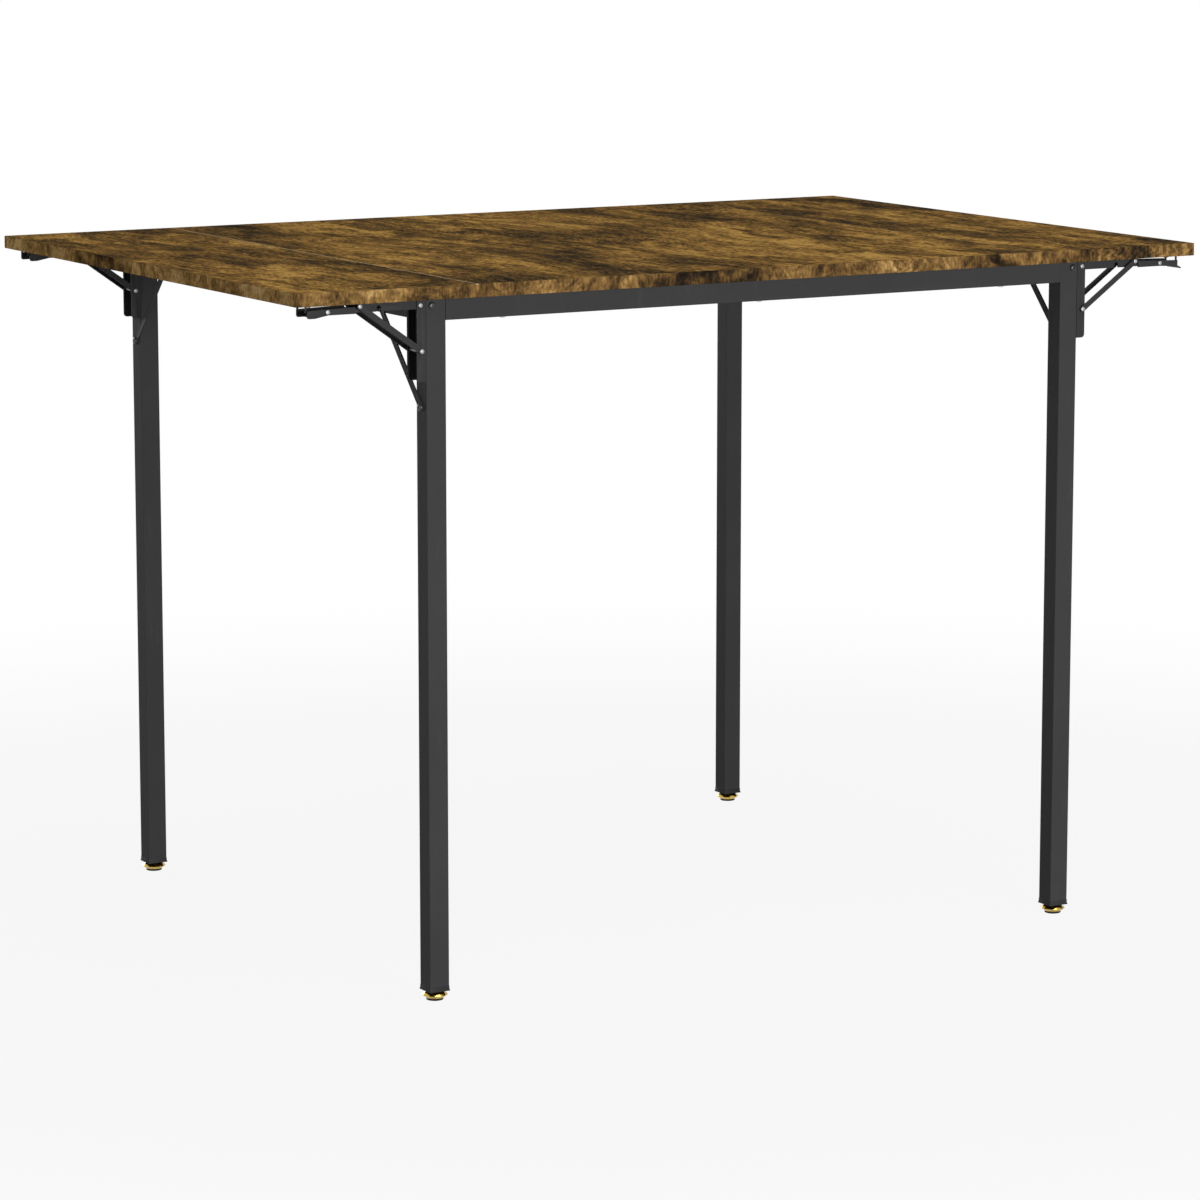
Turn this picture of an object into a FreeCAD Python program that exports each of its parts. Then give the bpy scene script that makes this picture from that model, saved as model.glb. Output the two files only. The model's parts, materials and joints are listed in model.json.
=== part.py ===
import FreeCAD, Part
import Sketcher
import math
import os
import re
from FreeCAD import Placement, Rotation, Vector

# Drop leaf dining table in millimetres
# The table stands on the floor at z zero, its long side along X and its depth along Y
# A fixed middle board and two narrow leaves, each carried by two folding brackets

SIZES = {
    # Boards
    "table_length": 1130.0,
    "table_depth": 755.0,
    "table_height": 760.0,
    "board_thick": 14.0,
    "board_arris": 0.3,
    "leaf_gap": 0.25,
    "groove_place": 356.0,
    "groove_wide": 0.9,
    "groove_deep": 0.5,
    # Square tube frame
    "frame_length": 822.0,
    "depth_overhang": 10.0,
    "tube_side": 23.0,
    "tube_wall": 1.5,
    "tube_round": 1.2,
    # Leg caps and levelling feet
    "leg_lift": 10.3,
    "cap_tall": 5.5,
    "cap_proud": 0.7,
    "flare_tall": 2.5,
    "plug_tall": 14.0,
    "slip_gap": 0.05,
    "stud_radius": 4.0,
    "stud_long": 27.0,
    "stud_gap": 0.1,
    "nut_radius": 7.5,
    "nut_tall": 6.5,
    "foot_rim": 13.7,
    "foot_base": 9.25,
    "foot_neck": 8.5,
    "rim_height": 5.7,
    "pad_tall": 1.8,
    "pad_inset": 0.1,
    # Machine bolts with a domed head and a hexagon socket
    "bolt_radius": 2.5,
    "bolt_gap": 0.1,
    "bolt_head": 4.0,
    "bolt_crown": 2.6,
    "bolt_rim": 2.2,
    "head_edge": 0.8,
    "socket_radius": 1.5,
    "socket_deep": 1.4,
    "corner_bolt_in": 6.5,
    "corner_bolt_drop": 7.0,
    "rail_plug_deep": 8.0,
    # Diagonal braces at the ends
    "brace_drop": 113.5,
    "brace_run": 95.0,
    "brace_wide": 8.0,
    "brace_thick": 1.5,
    "brace_bolt_long": 9.0,
    # Folding brackets of pressed sheet
    "sheet_thick": 1.2,
    "plate_gap": 0.2,
    "pivot_out": 6.4,
    "pivot_drop": 6.0,
    "channel_reach": 10.7,
    "channel_tall": 86.0,
    "channel_round": 4.0,
    "swing_round": 5.6,
    "pin_radius": 1.6,
    "pin_head": 2.45,
    "head_thick": 0.95,
    "pin_gap": 0.05,
    "strut_drop": 47.7,
    "knee_out": 71.3,
    "knee_rise": 2.6,
    "strut_wide": 6.2,
    "arm_start": 0.3,
    "arm_eye": 4.0,
    "arm_flange_long": 69.0,
    "arm_web_long": 83.0,
    "arm_long": 132.0,
    "arm_low_top": 0.4,
    "arm_low_bottom": 3.7,
    "arm_tail_from": 112.0,
    "arm_tail_bottom": 1.5,
    "end_plate_from": 116.0,
    "end_tab": 2.0,
    "notch_gap": 0.9,
    # Release levers
    "latch_out": 107.0,
    "latch_drop": 1.5,
    "latch_pin": 1.2,
    "latch_sink": 0.6,
    "lever_from": 76.0,
    "lever_top_in": 2.4,
    "lever_top_out": 0.9,
    "lever_bottom": 4.7,
    "lever_web_from": 113.0,
    "lever_long": 131.0,
    "lever_tail_bottom": 6.2,
    "lip_long": 136.0,
    "lip_drop": 8.8,
    "toe_bottom": 7.4,
    "toe_long": 9.0,
    "toe_round": 2.4,
    "toe_floor_long": 9.0,
    "spring_wire": 0.3,
    "spring_radius": 1.7,
    "spring_pitch": 0.8,
    "spring_long": 4.0,
    # Screws
    "screw_radius": 1.75,
    "screw_head": 3.5,
    "screw_cap": 2.0,
    "screw_bite": 9.0,
    "near_screw_place": 25.0,
    "far_screw_place": 60.0,
    "end_screw_place": 124.0,
    "rail_screw_place": 315.0,
    "rail_head": 4.0,
    "rail_head_tall": 2.2,
    "upper_screw_drop": 25.0,
    "lower_screw_drop": 65.0,
    "channel_screw_long": 8.0,
    # One overrun for every cut
    "overrun": 1.0,
}

WORD = re.compile(r"[a-z][a-z_]+")
SIDES = {"left": -1, "right": 1}
DEPTHS = {"front": -1, "back": 1}
CORNERS = [(depth, side) for depth in DEPTHS for side in SIDES]

document = FreeCAD.newDocument("drop_leaf_table")
sheet = document.addObject("Spreadsheet::Sheet", "Sizes")
for row, (word, number) in enumerate(SIZES.items(), 1):
    sheet.set(f"A{row}", word)
    sheet.set(f"B{row}", str(number))
    sheet.setAlias(f"B{row}", word)
document.recompute()

parts = []


def size(word):
    """One driving size, read back from the sheet."""
    return float(sheet.get(word))


def bind(item, prop, text):
    """Tie one property to the sheet: each word of the text is a size there."""
    item.setExpression(prop, WORD.sub(lambda found: "Sizes." + found.group(0), text))


def slab(name, xs, ys, zs):
    """A box from its low and high place along each axis."""
    item = document.addObject("Part::Box", name)
    for prop, axis, (low, high) in zip(("Length", "Width", "Height"), "xyz", (xs, ys, zs)):
        bind(item, prop, f"({high}) - ({low})")
        bind(item, "Placement.Base." + axis, low)
    return item


def turn_to(item, axis, sense=1):
    """Lay a primitive that stands along Z along another axis."""
    about = {"x": Vector(0, 1, 0), "y": Vector(-1, 0, 0), "z": Vector(1, 0, 0)}[axis]
    quarter = {"x": 90, "y": 90, "z": 0}[axis]
    half = Rotation(Vector(0, 0, 1) if axis != "z" else Vector(1, 0, 0), 0 if sense > 0 else 180)
    item.Placement = Placement(item.Placement.Base, half * Rotation(about, quarter))


def place_at(item, start):
    """Tie the place of a primitive to the sheet."""
    for axis, text in zip("xyz", start):
        bind(item, "Placement.Base." + axis, text)


def rod(name, radius, long, start, axis="z", sense=1):
    """A round bar from its start, along one axis."""
    item = document.addObject("Part::Cylinder", name)
    bind(item, "Radius", radius)
    bind(item, "Height", long)
    turn_to(item, axis, sense)
    place_at(item, start)
    return item


def taper(name, first, second, long, start, axis="z", sense=1):
    """A frustum from its start, along one axis."""
    item = document.addObject("Part::Cone", name)
    bind(item, "Radius1", first)
    bind(item, "Radius2", second)
    bind(item, "Height", long)
    turn_to(item, axis, sense)
    place_at(item, start)
    return item


def hexagon(name, radius, long, start, axis="z", sense=1):
    """A six sided bar from its start, along one axis."""
    item = document.addObject("Part::Prism", name)
    item.Polygon = 6
    bind(item, "Circumradius", radius)
    bind(item, "Height", long)
    turn_to(item, axis, sense)
    place_at(item, start)
    return item


def fuse(name, items):
    """Several solids as one."""
    item = document.addObject("Part::MultiFuse", name)
    item.Shapes = items
    item.Refine = True
    return item


def cut(name, base, tools):
    """A solid less its tools."""
    item = document.addObject("Part::Cut", name)
    item.Base = base
    item.Tool = tools[0] if len(tools) == 1 else fuse(name + "_tools", tools)
    item.Refine = True
    return item


def group(name, items):
    """Like pieces kept as separate solids."""
    item = document.addObject("Part::Compound", name)
    item.Links = items
    return item


def keep(item, label):
    """Note a finished piece under its own name."""
    item.Label = label
    parts.append(item)
    return item


def seat(item, side, depth):
    """Place a piece drawn in a bracket's own frame: pivot at zero, X outboard."""
    sign = SIDES[side]
    item.Placement = Placement(Vector(), Rotation(Vector(0, 0, 1), 0 if sign > 0 else 180))
    bind(item, "Placement.Base.x", f"{sign} * (frame_length / 2 + pivot_out)")
    bind(item, "Placement.Base.y", f"{DEPTHS[depth]} * (frame_depth - tube_side) / 2")
    bind(item, "Placement.Base.z", PIVOT_HEIGHT)
    return item


BOARD_BOTTOM = "table_height - board_thick"
PIVOT_HEIGHT = "table_height - board_thick - pivot_drop"
LEG_BOTTOM = "leg_lift + cap_tall"


# Solid bodies from sketches

def rectangle(sketch, word, wide, tall):
    """A rectangle centred on the sketch's origin, sizes tied to the sheet."""
    first = sketch.GeometryCount
    corners = [Vector(x, y, 0) for x, y in ((-1, -1), (1, -1), (1, 1), (-1, 1))]
    for index in range(4):
        sketch.addGeometry(Part.LineSegment(corners[index], corners[(index + 1) % 4]), False)
    make = Sketcher.Constraint
    for index in range(4):
        sketch.addConstraint(make("Coincident", first + index, 2, first + (index + 1) % 4, 1))
    for index in (0, 2):
        sketch.addConstraint(make("Horizontal", first + index))
    for index in (1, 3):
        sketch.addConstraint(make("Vertical", first + index))
    sketch.addConstraint(make("Symmetric", first, 1, first + 1, 2, -1, 1))
    for prop, edge, text in (("wide", first, wide), ("tall", first + 1, tall)):
        place = sketch.addConstraint(make("Distance", edge, size("tube_side")))
        sketch.renameConstraint(place, f"{word}_{prop}")
        bind(sketch, f"Constraints.{word}_{prop}", text)


def prism_body(name, plane, outlines, long):
    """A body padded both ways from one of its own planes."""
    body = document.addObject("PartDesign::Body", name)
    sketch = body.newObject("Sketcher::SketchObject", name + "_outline")
    origin = [item for item in body.Origin.OriginFeatures if item.Role == plane][0]
    sketch.AttachmentSupport = [(origin, "")]
    sketch.MapMode = "FlatFace"
    for word, wide, tall in outlines:
        rectangle(sketch, word, wide, tall)
    pad = body.newObject("PartDesign::Pad", name + "_pad")
    pad.Profile = sketch
    if "SideType" in pad.PropertiesList:
        pad.SideType = "Symmetric"
    else:
        pad.Midplane = True
    bind(pad, "Length", long)
    document.recompute()
    return body, pad


def board(name, long, centre):
    """A flat board with its sharp edges broken."""
    body, pad = prism_body(name, "XY_Plane", [("board", long, "table_depth")], "board_thick")
    edges = [f"Edge{number}" for number in range(1, len(pad.Shape.Edges) + 1)]
    arris = body.newObject("PartDesign::Chamfer", name + "_arris")
    arris.Base = (pad, edges)
    bind(arris, "Size", "board_arris")
    body.Tip = arris
    place_at(body, (centre, "0", "table_height - board_thick / 2"))
    return body


def tube(name, along, long, centre):
    """A square tube with rounded corners, along X, Y or Z."""
    plane = {"x": "YZ_Plane", "y": "XZ_Plane", "z": "XY_Plane"}[along]
    bore = "tube_side - 2 * tube_wall"
    outlines = [("outer", "tube_side", "tube_side"), ("bore", bore, bore)]
    body, pad = prism_body(name, plane, outlines, long)
    half = size("tube_side") / 2
    across = "xyz".replace(along, "")
    edges = []
    for number, edge in enumerate(pad.Shape.Edges, 1):
        middle = edge.valueAt((edge.FirstParameter + edge.LastParameter) / 2)
        if all(abs(abs(getattr(middle, axis)) - half) < size("slip_gap") for axis in across):
            edges.append(f"Edge{number}")
    corners = body.newObject("PartDesign::Fillet", name + "_corners")
    corners.Base = (pad, edges)
    bind(corners, "Radius", "tube_round")
    body.Tip = corners
    place_at(body, centre)
    return body


# Boards

def arm_screw_spots(side):
    """Where the screws go up into one leaf."""
    sign = SIDES[side]
    spots = []
    for depth, way in DEPTHS.items():
        for word in ("near_screw_place", "far_screw_place", "end_screw_place"):
            x = f"{sign} * (frame_length / 2 + pivot_out + {word})"
            spots.append((x, f"{way} * (frame_depth - tube_side) / 2"))
    return spots


def rail_screw_spots():
    """Where the long screws go up through the front and back rails."""
    spots = []
    for way in DEPTHS.values():
        for share in (-1, 0, 1):
            spots.append((f"{share} * rail_screw_place", f"{way} * (frame_depth - tube_side) / 2"))
    return spots


def pilot_holes(name, spots):
    """Screw holes up into the underside of a board."""
    holes = []
    for number, (x, y) in enumerate(spots):
        low = f"{BOARD_BOTTOM} - overrun"
        holes.append(rod(f"{name}_{number}", "screw_radius + slip_gap",
                         "overrun + screw_bite + slip_gap", (x, y, low)))
    return holes


def make_centre_board():
    """The fixed middle board with its two shallow surface grooves."""
    body = board("centre_blank", "frame_length + 2 * pivot_out - leaf_gap", "0")
    tools = pilot_holes("centre_pilot", rail_screw_spots())
    for side, sign in SIDES.items():
        middle = f"{sign} * groove_place"
        tools.append(slab(f"{side}_groove",
                          (f"{middle} - groove_wide / 2", f"{middle} + groove_wide / 2"),
                          ("-table_depth / 2 - overrun", "table_depth / 2 + overrun"),
                          ("table_height - groove_deep", "table_height + overrun")))
    keep(cut("centre_cut", body, tools), "centre_board")


def make_leaf(side):
    """One hinged leaf, from the bracket pivots out to the table's end."""
    sign = SIDES[side]
    inner = "(frame_length / 2 + pivot_out + leaf_gap / 2)"
    body = board(f"{side}_leaf_blank", f"table_length / 2 - {inner}",
                 f"{sign} * (table_length / 2 + {inner}) / 2")
    tools = pilot_holes(f"{side}_pilot", arm_screw_spots(side))
    keep(cut(f"{side}_leaf_cut", body, tools), f"{side}_leaf_board")


# Frame

def leg_centre(side, depth):
    """Middle line of one leg."""
    x = f"{SIDES[side]} * (frame_length - tube_side) / 2"
    y = f"{DEPTHS[depth]} * (frame_depth - tube_side) / 2"
    return x, y


def channel_screw_heights():
    """The two screws that hold a bracket to its leg."""
    return [f"{PIVOT_HEIGHT} - upper_screw_drop", f"{PIVOT_HEIGHT} - lower_screw_drop"]


def outer_face_hole(name, side, radius, y, z):
    """A hole through the outer wall of a leg or an end rail."""
    sign = SIDES[side]
    start = f"{sign} * (frame_length / 2 + overrun)"
    return rod(name, radius, "tube_wall + 2 * overrun", (start, y, z), "x", -sign)


def make_leg(side, depth):
    """One leg with the holes for its bracket, brace and corner bolt."""
    name = f"leg_{depth}_{side}"
    x, y = leg_centre(side, depth)
    long = f"{BOARD_BOTTOM} - ({LEG_BOTTOM})"
    body = tube(name + "_tube", "z", long, (x, y, f"({LEG_BOTTOM} + {BOARD_BOTTOM}) / 2"))
    tools = []
    for number, z in enumerate(channel_screw_heights()):
        tools.append(outer_face_hole(f"{name}_screw_{number}", side, "screw_radius + slip_gap", y, z))
    tools.append(outer_face_hole(name + "_brace", side, "bolt_radius + bolt_gap", y,
                                 f"{BOARD_BOTTOM} - brace_drop"))
    bolt_x, bolt_z = corner_bolt_line(side)
    start = f"{DEPTHS[depth]} * (frame_depth / 2 + overrun)"
    tools.append(rod(name + "_corner", "bolt_radius + bolt_gap", "tube_side + 2 * overrun",
                     (bolt_x, start, bolt_z), "y", -DEPTHS[depth]))
    keep(cut(name + "_cut", body, tools), name)


def make_long_rail(depth):
    """Front or back rail, welded between two legs, drilled for the top's screws."""
    y = f"{DEPTHS[depth]} * (frame_depth - tube_side) / 2"
    body = tube(f"{depth}_rail_tube", "x", "frame_length - 2 * tube_side",
                ("0", y, f"{BOARD_BOTTOM} - tube_side / 2"))
    tools = []
    for number, (x, spot_y) in enumerate(rail_screw_spots()):
        if spot_y != y:
            continue
        tools.append(rod(f"{depth}_rail_hole_{number}", "screw_radius + slip_gap",
                         "tube_side + 2 * overrun", (x, y, f"{BOARD_BOTTOM} - tube_side - overrun")))
    keep(cut(f"{depth}_rail_cut", body, tools), f"{depth}_rail")


def corner_bolt_line(side):
    """X and height of the bolts that draw the end rail to its legs."""
    x = f"{SIDES[side]} * (frame_length / 2 - corner_bolt_in)"
    return x, f"{BOARD_BOTTOM} - corner_bolt_drop"


def brace_top(depth):
    """Y of a brace's upper bolt on the end rail."""
    return f"{DEPTHS[depth]} * ((frame_depth - tube_side) / 2 - brace_run)"


def make_end_rail(side):
    """End rail, bolted between the front and the back frame."""
    x = f"{SIDES[side]} * (frame_length - tube_side) / 2"
    body = tube(f"{side}_end_rail_tube", "y", "frame_depth - 2 * tube_side",
                (x, "0", f"{BOARD_BOTTOM} - tube_side / 2"))
    tools = []
    for depth in DEPTHS:
        tools.append(outer_face_hole(f"{side}_{depth}_rail_brace", side, "bolt_radius + bolt_gap",
                                     brace_top(depth), f"{BOARD_BOTTOM} - tube_side / 2"))
    keep(cut(f"{side}_end_rail_cut", body, tools), f"{side}_end_rail")


def make_rail_plugs():
    """Threaded plugs pressed into the ends of the end rails."""
    plugs = []
    for depth, side in CORNERS:
        way = DEPTHS[depth]
        x = f"{SIDES[side]} * (frame_length - tube_side) / 2"
        half = "(tube_side / 2 - tube_wall - slip_gap)"
        end = f"{way} * (frame_depth / 2 - tube_side)"
        inner = f"{way} * (frame_depth / 2 - tube_side - rail_plug_deep)"
        ys = (end, inner) if way < 0 else (inner, end)
        middle = f"{BOARD_BOTTOM} - tube_side / 2"
        name = f"plug_{depth}_{side}"
        block = slab(name, (f"{x} - {half}", f"{x} + {half}"), ys,
                     (f"{middle} - {half}", f"{middle} + {half}"))
        bolt_x, bolt_z = corner_bolt_line(side)
        hole = rod(name + "_hole", "bolt_radius + slip_gap", "rail_plug_deep + 2 * overrun",
                   (bolt_x, f"{way} * (frame_depth / 2 - tube_side + overrun)", bolt_z), "y", -way)
        plugs.append(cut(name + "_cut", block, [hole]))
    keep(group("plugs", plugs), "rail_end_plugs")


# Bolts and screws

def button_bolt(name, seat_at, long, axis, outward):
    """A bolt whose domed head stands outward of its seat, shank the other way."""
    x, y, z = seat_at
    shank = rod(name + "_shank", "bolt_radius", long, seat_at, axis, -outward)
    edge = rod(name + "_edge", "bolt_head", "head_edge", seat_at, axis, outward)
    spot = {"x": (f"{x} + {outward} * head_edge", y, z), "y": (x, f"{y} + {outward} * head_edge", z)}[axis]
    crown = taper(name + "_crown", "bolt_head", "bolt_rim", "bolt_crown - head_edge", spot, axis, outward)
    top = {"x": (f"{x} + {outward} * (bolt_crown - socket_deep)", y, z),
           "y": (x, f"{y} + {outward} * (bolt_crown - socket_deep)", z)}[axis]
    socket = hexagon(name + "_socket", "socket_radius", "socket_deep + overrun", top, axis, outward)
    return cut(name, fuse(name + "_solid", [shank, edge, crown]), [socket])


def make_corner_bolts():
    """One bolt through each leg into the plug of the end rail."""
    bolts = []
    for depth, side in CORNERS:
        x, z = corner_bolt_line(side)
        y = f"{DEPTHS[depth]} * frame_depth / 2"
        bolts.append(button_bolt(f"corner_bolt_{depth}_{side}", (x, y, z),
                                 "tube_side + rail_plug_deep", "y", DEPTHS[depth]))
    keep(group("corner_bolt_set", bolts), "corner_bolts")


def make_brace_bolts():
    """Two bolts for each brace, one in the leg and one in the end rail."""
    bolts = []
    for depth, side in CORNERS:
        sign = SIDES[side]
        x = f"{sign} * (frame_length / 2 + brace_thick)"
        leg_y = f"{DEPTHS[depth]} * (frame_depth - tube_side) / 2"
        for word, y, z in (("low", leg_y, f"{BOARD_BOTTOM} - brace_drop"),
                           ("high", brace_top(depth), f"{BOARD_BOTTOM} - tube_side / 2")):
            bolts.append(button_bolt(f"brace_bolt_{word}_{depth}_{side}", (x, y, z),
                                     "brace_bolt_long", "x", sign))
    keep(group("brace_bolt_set", bolts), "brace_bolts")


def make_channel_screws():
    """Pan head screws inside the brackets, into the legs."""
    screws = []
    for depth, side in CORNERS:
        sign = SIDES[side]
        _, y = leg_centre(side, depth)
        x = f"{sign} * (frame_length / 2 + sheet_thick)"
        for number, z in enumerate(channel_screw_heights()):
            name = f"channel_screw_{depth}_{side}_{number}"
            shank = rod(name + "_shank", "screw_radius", "channel_screw_long", (x, y, z), "x", -sign)
            head = taper(name + "_head", "screw_head", "screw_radius", "screw_cap", (x, y, z), "x", sign)
            screws.append(fuse(name, [shank, head]))
    keep(group("channel_screw_set", screws), "bracket_screws")


def wood_screw(name, spot, low, grip):
    """A screw driven upwards: head under its seat, shank through the grip."""
    x, y = spot
    shank = rod(name + "_shank", "screw_radius", f"{grip} + screw_bite", (x, y, low))
    head = taper(name + "_head", "screw_head", "screw_radius", "screw_cap", (x, y, low), "z", -1)
    return fuse(name, [shank, head])


def make_leaf_screws(side):
    """Short screws through the bracket arms into one leaf."""
    screws = [wood_screw(f"{side}_leaf_screw_{number}", spot, f"{BOARD_BOTTOM} - sheet_thick", "sheet_thick")
              for number, spot in enumerate(arm_screw_spots(side))]
    keep(group(f"{side}_leaf_screw_set", screws), f"{side}_leaf_screws")


def make_rail_screws():
    """Long screws through the front and back rails into the middle board."""
    screws = []
    for number, (x, y) in enumerate(rail_screw_spots()):
        low = f"{BOARD_BOTTOM} - tube_side"
        name = f"rail_screw_{number}"
        shank = rod(name + "_shank", "screw_radius", "tube_side + screw_bite", (x, y, low))
        head = taper(name + "_head", "rail_head", "screw_radius", "rail_head_tall", (x, y, low), "z", -1)
        screws.append(fuse(name, [shank, head]))
    keep(group("rail_screw_set", screws), "rail_screws")


# Caps and feet

def flare(name, x, y):
    """The lowest part of a cap, which widens downwards."""
    item = document.addObject("Part::Wedge", name)
    wide, narrow = "tube_side / 2 + cap_proud", "tube_side / 2"
    for prop, text in (("Xmin", f"-({wide})"), ("Xmax", wide), ("Zmin", f"-({wide})"), ("Zmax", wide),
                       ("X2min", f"-{narrow}"), ("X2max", narrow), ("Z2min", f"-{narrow}"), ("Z2max", narrow),
                       ("Ymax", "flare_tall")):
        bind(item, prop, text)
    item.Ymin = 0
    item.Placement = Placement(Vector(), Rotation(Vector(1, 0, 0), 90))
    place_at(item, (x, y, "leg_lift"))
    return item


def make_cap(side, depth):
    """Plastic cap with a flared foot and a hollow plug that holds the levelling foot."""
    name = f"leg_cap_{depth}_{side}"
    x, y = leg_centre(side, depth)
    half = "(tube_side / 2)"
    plug = "(tube_side / 2 - tube_wall - slip_gap)"
    collar = slab(name + "_collar", (f"{x} - {half}", f"{x} + {half}"), (f"{y} - {half}", f"{y} + {half}"),
                  ("leg_lift + flare_tall", LEG_BOTTOM))
    core = slab(name + "_plug", (f"{x} - {plug}", f"{x} + {plug}"), (f"{y} - {plug}", f"{y} + {plug}"),
                ("leg_lift", f"{LEG_BOTTOM} + plug_tall"))
    bore = rod(name + "_bore", "stud_radius + stud_gap", "cap_tall + plug_tall + 2 * overrun",
               (x, y, "leg_lift - overrun"))
    solid = fuse(name + "_solid", [flare(name + "_flare", x, y), collar, core])
    keep(cut(name + "_cut", solid, [bore]), name)


def make_foot_nuts():
    """Hexagon nuts that rest on the plugs and carry the feet's threads."""
    nuts = []
    for depth, side in CORNERS:
        x, y = leg_centre(side, depth)
        low = f"{LEG_BOTTOM} + plug_tall"
        name = f"foot_nut_{depth}_{side}"
        bore = rod(name + "_bore", "stud_radius + stud_gap", "nut_tall + 2 * overrun",
                   (x, y, f"{low} - overrun"))
        nuts.append(cut(name, hexagon(name + "_hexagon", "nut_radius", "nut_tall", (x, y, low)), [bore]))
    keep(group("foot_nut_set", nuts), "foot_nuts")


def make_foot(side, depth):
    """Turned foot of two cones on a threaded stud, and its soft pad."""
    name = f"levelling_foot_{depth}_{side}"
    x, y = leg_centre(side, depth)
    lower = taper(name + "_lower", "foot_base", "foot_rim", "rim_height - pad_tall", (x, y, "pad_tall"))
    upper = taper(name + "_upper", "foot_rim", "foot_neck", "leg_lift - rim_height", (x, y, "rim_height"))
    stud = rod(name + "_stud", "stud_radius", "stud_long + leg_lift - rim_height", (x, y, "rim_height"))
    keep(fuse(name + "_solid", [lower, upper, stud]), name)
    pad = rod(f"foot_pad_{depth}_{side}_disc", "foot_base - pad_inset", "pad_tall", (x, y, "0"))
    keep(pad, f"foot_pad_{depth}_{side}")


# Braces

def capsule(name, long, wide, thick, low_face):
    """A flat bar along X with round ends about two centres, lying across Y."""
    bar = slab(name + "_bar", ("0", long), (low_face, f"{low_face} + {thick}"),
               (f"-({wide}) / 2", f"({wide}) / 2"))
    first = rod(name + "_first", f"({wide}) / 2", thick, ("0", low_face, "0"), "y")
    last = rod(name + "_last", f"({wide}) / 2", thick, (long, low_face, "0"), "y")
    return fuse(name, [bar, first, last])


def make_brace(side, depth):
    """Flat diagonal strip on the outer face, from the leg up to the end rail."""
    name = f"brace_{depth}_{side}"
    sign = SIDES[side]
    way = DEPTHS[depth]
    bar = capsule(name + "_strip", "brace_span", "brace_wide", "brace_thick", "0")
    holes = []
    for number, place in enumerate(("0", "brace_span")):
        holes.append(rod(f"{name}_hole_{number}", "bolt_radius + bolt_gap", "brace_thick + 2 * overrun",
                         (place, "-overrun", "0"), "y"))
    item = cut(name + "_cut", bar, holes)
    angle = math.degrees(math.atan2(size("brace_drop") - size("tube_side") / 2, size("brace_run")))
    lay = Rotation(Vector(0, 0, 1), -90 * way) * Rotation(Vector(0, 1, 0), -angle)
    item.Placement = Placement(Vector(), lay)
    inner_first = (lay.multVec(Vector(0, 1, 0)).x > 0) == (sign > 0)
    base = "frame_length / 2" if inner_first else "frame_length / 2 + brace_thick"
    bind(item, "Placement.Base.x", f"{sign} * ({base})")
    bind(item, "Placement.Base.y", f"{way} * (frame_depth - tube_side) / 2")
    bind(item, "Placement.Base.z", f"{BOARD_BOTTOM} - brace_drop")
    keep(item, name)


# Folding brackets, each drawn about its own upper pivot with X outboard

def both_ways(name, radius, long, at, start):
    """Two like rods, one on each side of the bracket's middle plane."""
    x, z = at
    near = rod(name + "_near", radius, long, (x, f"-({start})", z), "y", -1)
    far = rod(name + "_far", radius, long, (x, start, z), "y", 1)
    return [near, far]


def flange_pair(name, xs, zs, low_face):
    """Two upright walls, one on each side of the middle plane."""
    near = slab(name + "_near", xs, (f"-({low_face}) - sheet_thick", f"-({low_face})"), zs)
    far = slab(name + "_far", xs, (low_face, f"{low_face} + sheet_thick"), zs)
    return [near, far]


CHANNEL_FACE = "tube_side / 2 - sheet_thick"
ARM_FACE = "tube_side / 2 - 2 * sheet_thick - plate_gap"
LEVER_FACE = "tube_side / 2 + plate_gap"
STRUT_FACE = "tube_side / 2 + 2 * plate_gap + sheet_thick"


def make_channel(side, depth):
    """Fixed upright channel against the leg."""
    name = f"bracket_channel_{depth}_{side}"
    low = "pivot_drop - channel_tall"
    outer = "channel_reach - pivot_out"
    web = slab(name + "_web", ("-pivot_out", "sheet_thick - pivot_out"),
               ("-tube_side / 2", "tube_side / 2"), (low, "pivot_drop"))
    walls = flange_pair(name + "_wall", ("-pivot_out", outer), (low, "pivot_drop"), CHANNEL_FACE)
    solid = fuse(name + "_solid", [web] + walls)
    across = ("-tube_side / 2 - overrun", "tube_side / 2 + overrun")
    corner = slab(name + "_corner", (f"{outer} - channel_round", f"{outer} + overrun"), across,
                  (f"{low} - overrun", f"{low} + channel_round"))
    rounding = rod(name + "_rounding", "channel_round", "tube_side + 2 * overrun",
                   (f"{outer} - channel_round", "-tube_side / 2 - overrun", f"{low} + channel_round"), "y")
    lower_waste = cut(name + "_waste", corner, [rounding])
    crest = slab(name + "_crest", ("0", f"{outer} + overrun"), across, ("0", "pivot_drop + overrun"))
    swing = rod(name + "_swing", "swing_round", "tube_side + 2 * overrun",
                ("0", "-tube_side / 2 - overrun", "0"), "y")
    upper_waste = cut(name + "_clearing", crest, [swing])
    tools = [lower_waste, upper_waste]
    for word, z in (("pivot", "0"), ("foot", "-strut_drop")):
        tools.append(rod(f"{name}_{word}", "pin_radius + pin_gap", "tube_side + 2 * overrun",
                         ("0", "-tube_side / 2 - overrun", z), "y"))
    for number, word in enumerate(("upper_screw_drop", "lower_screw_drop")):
        tools.append(rod(f"{name}_screw_{number}", "screw_radius + slip_gap", "sheet_thick + 2 * overrun",
                         ("-pivot_out - overrun", "0", f"-{word}"), "x"))
    keep(seat(cut(name + "_cut", solid, tools), side, depth), name)


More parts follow.
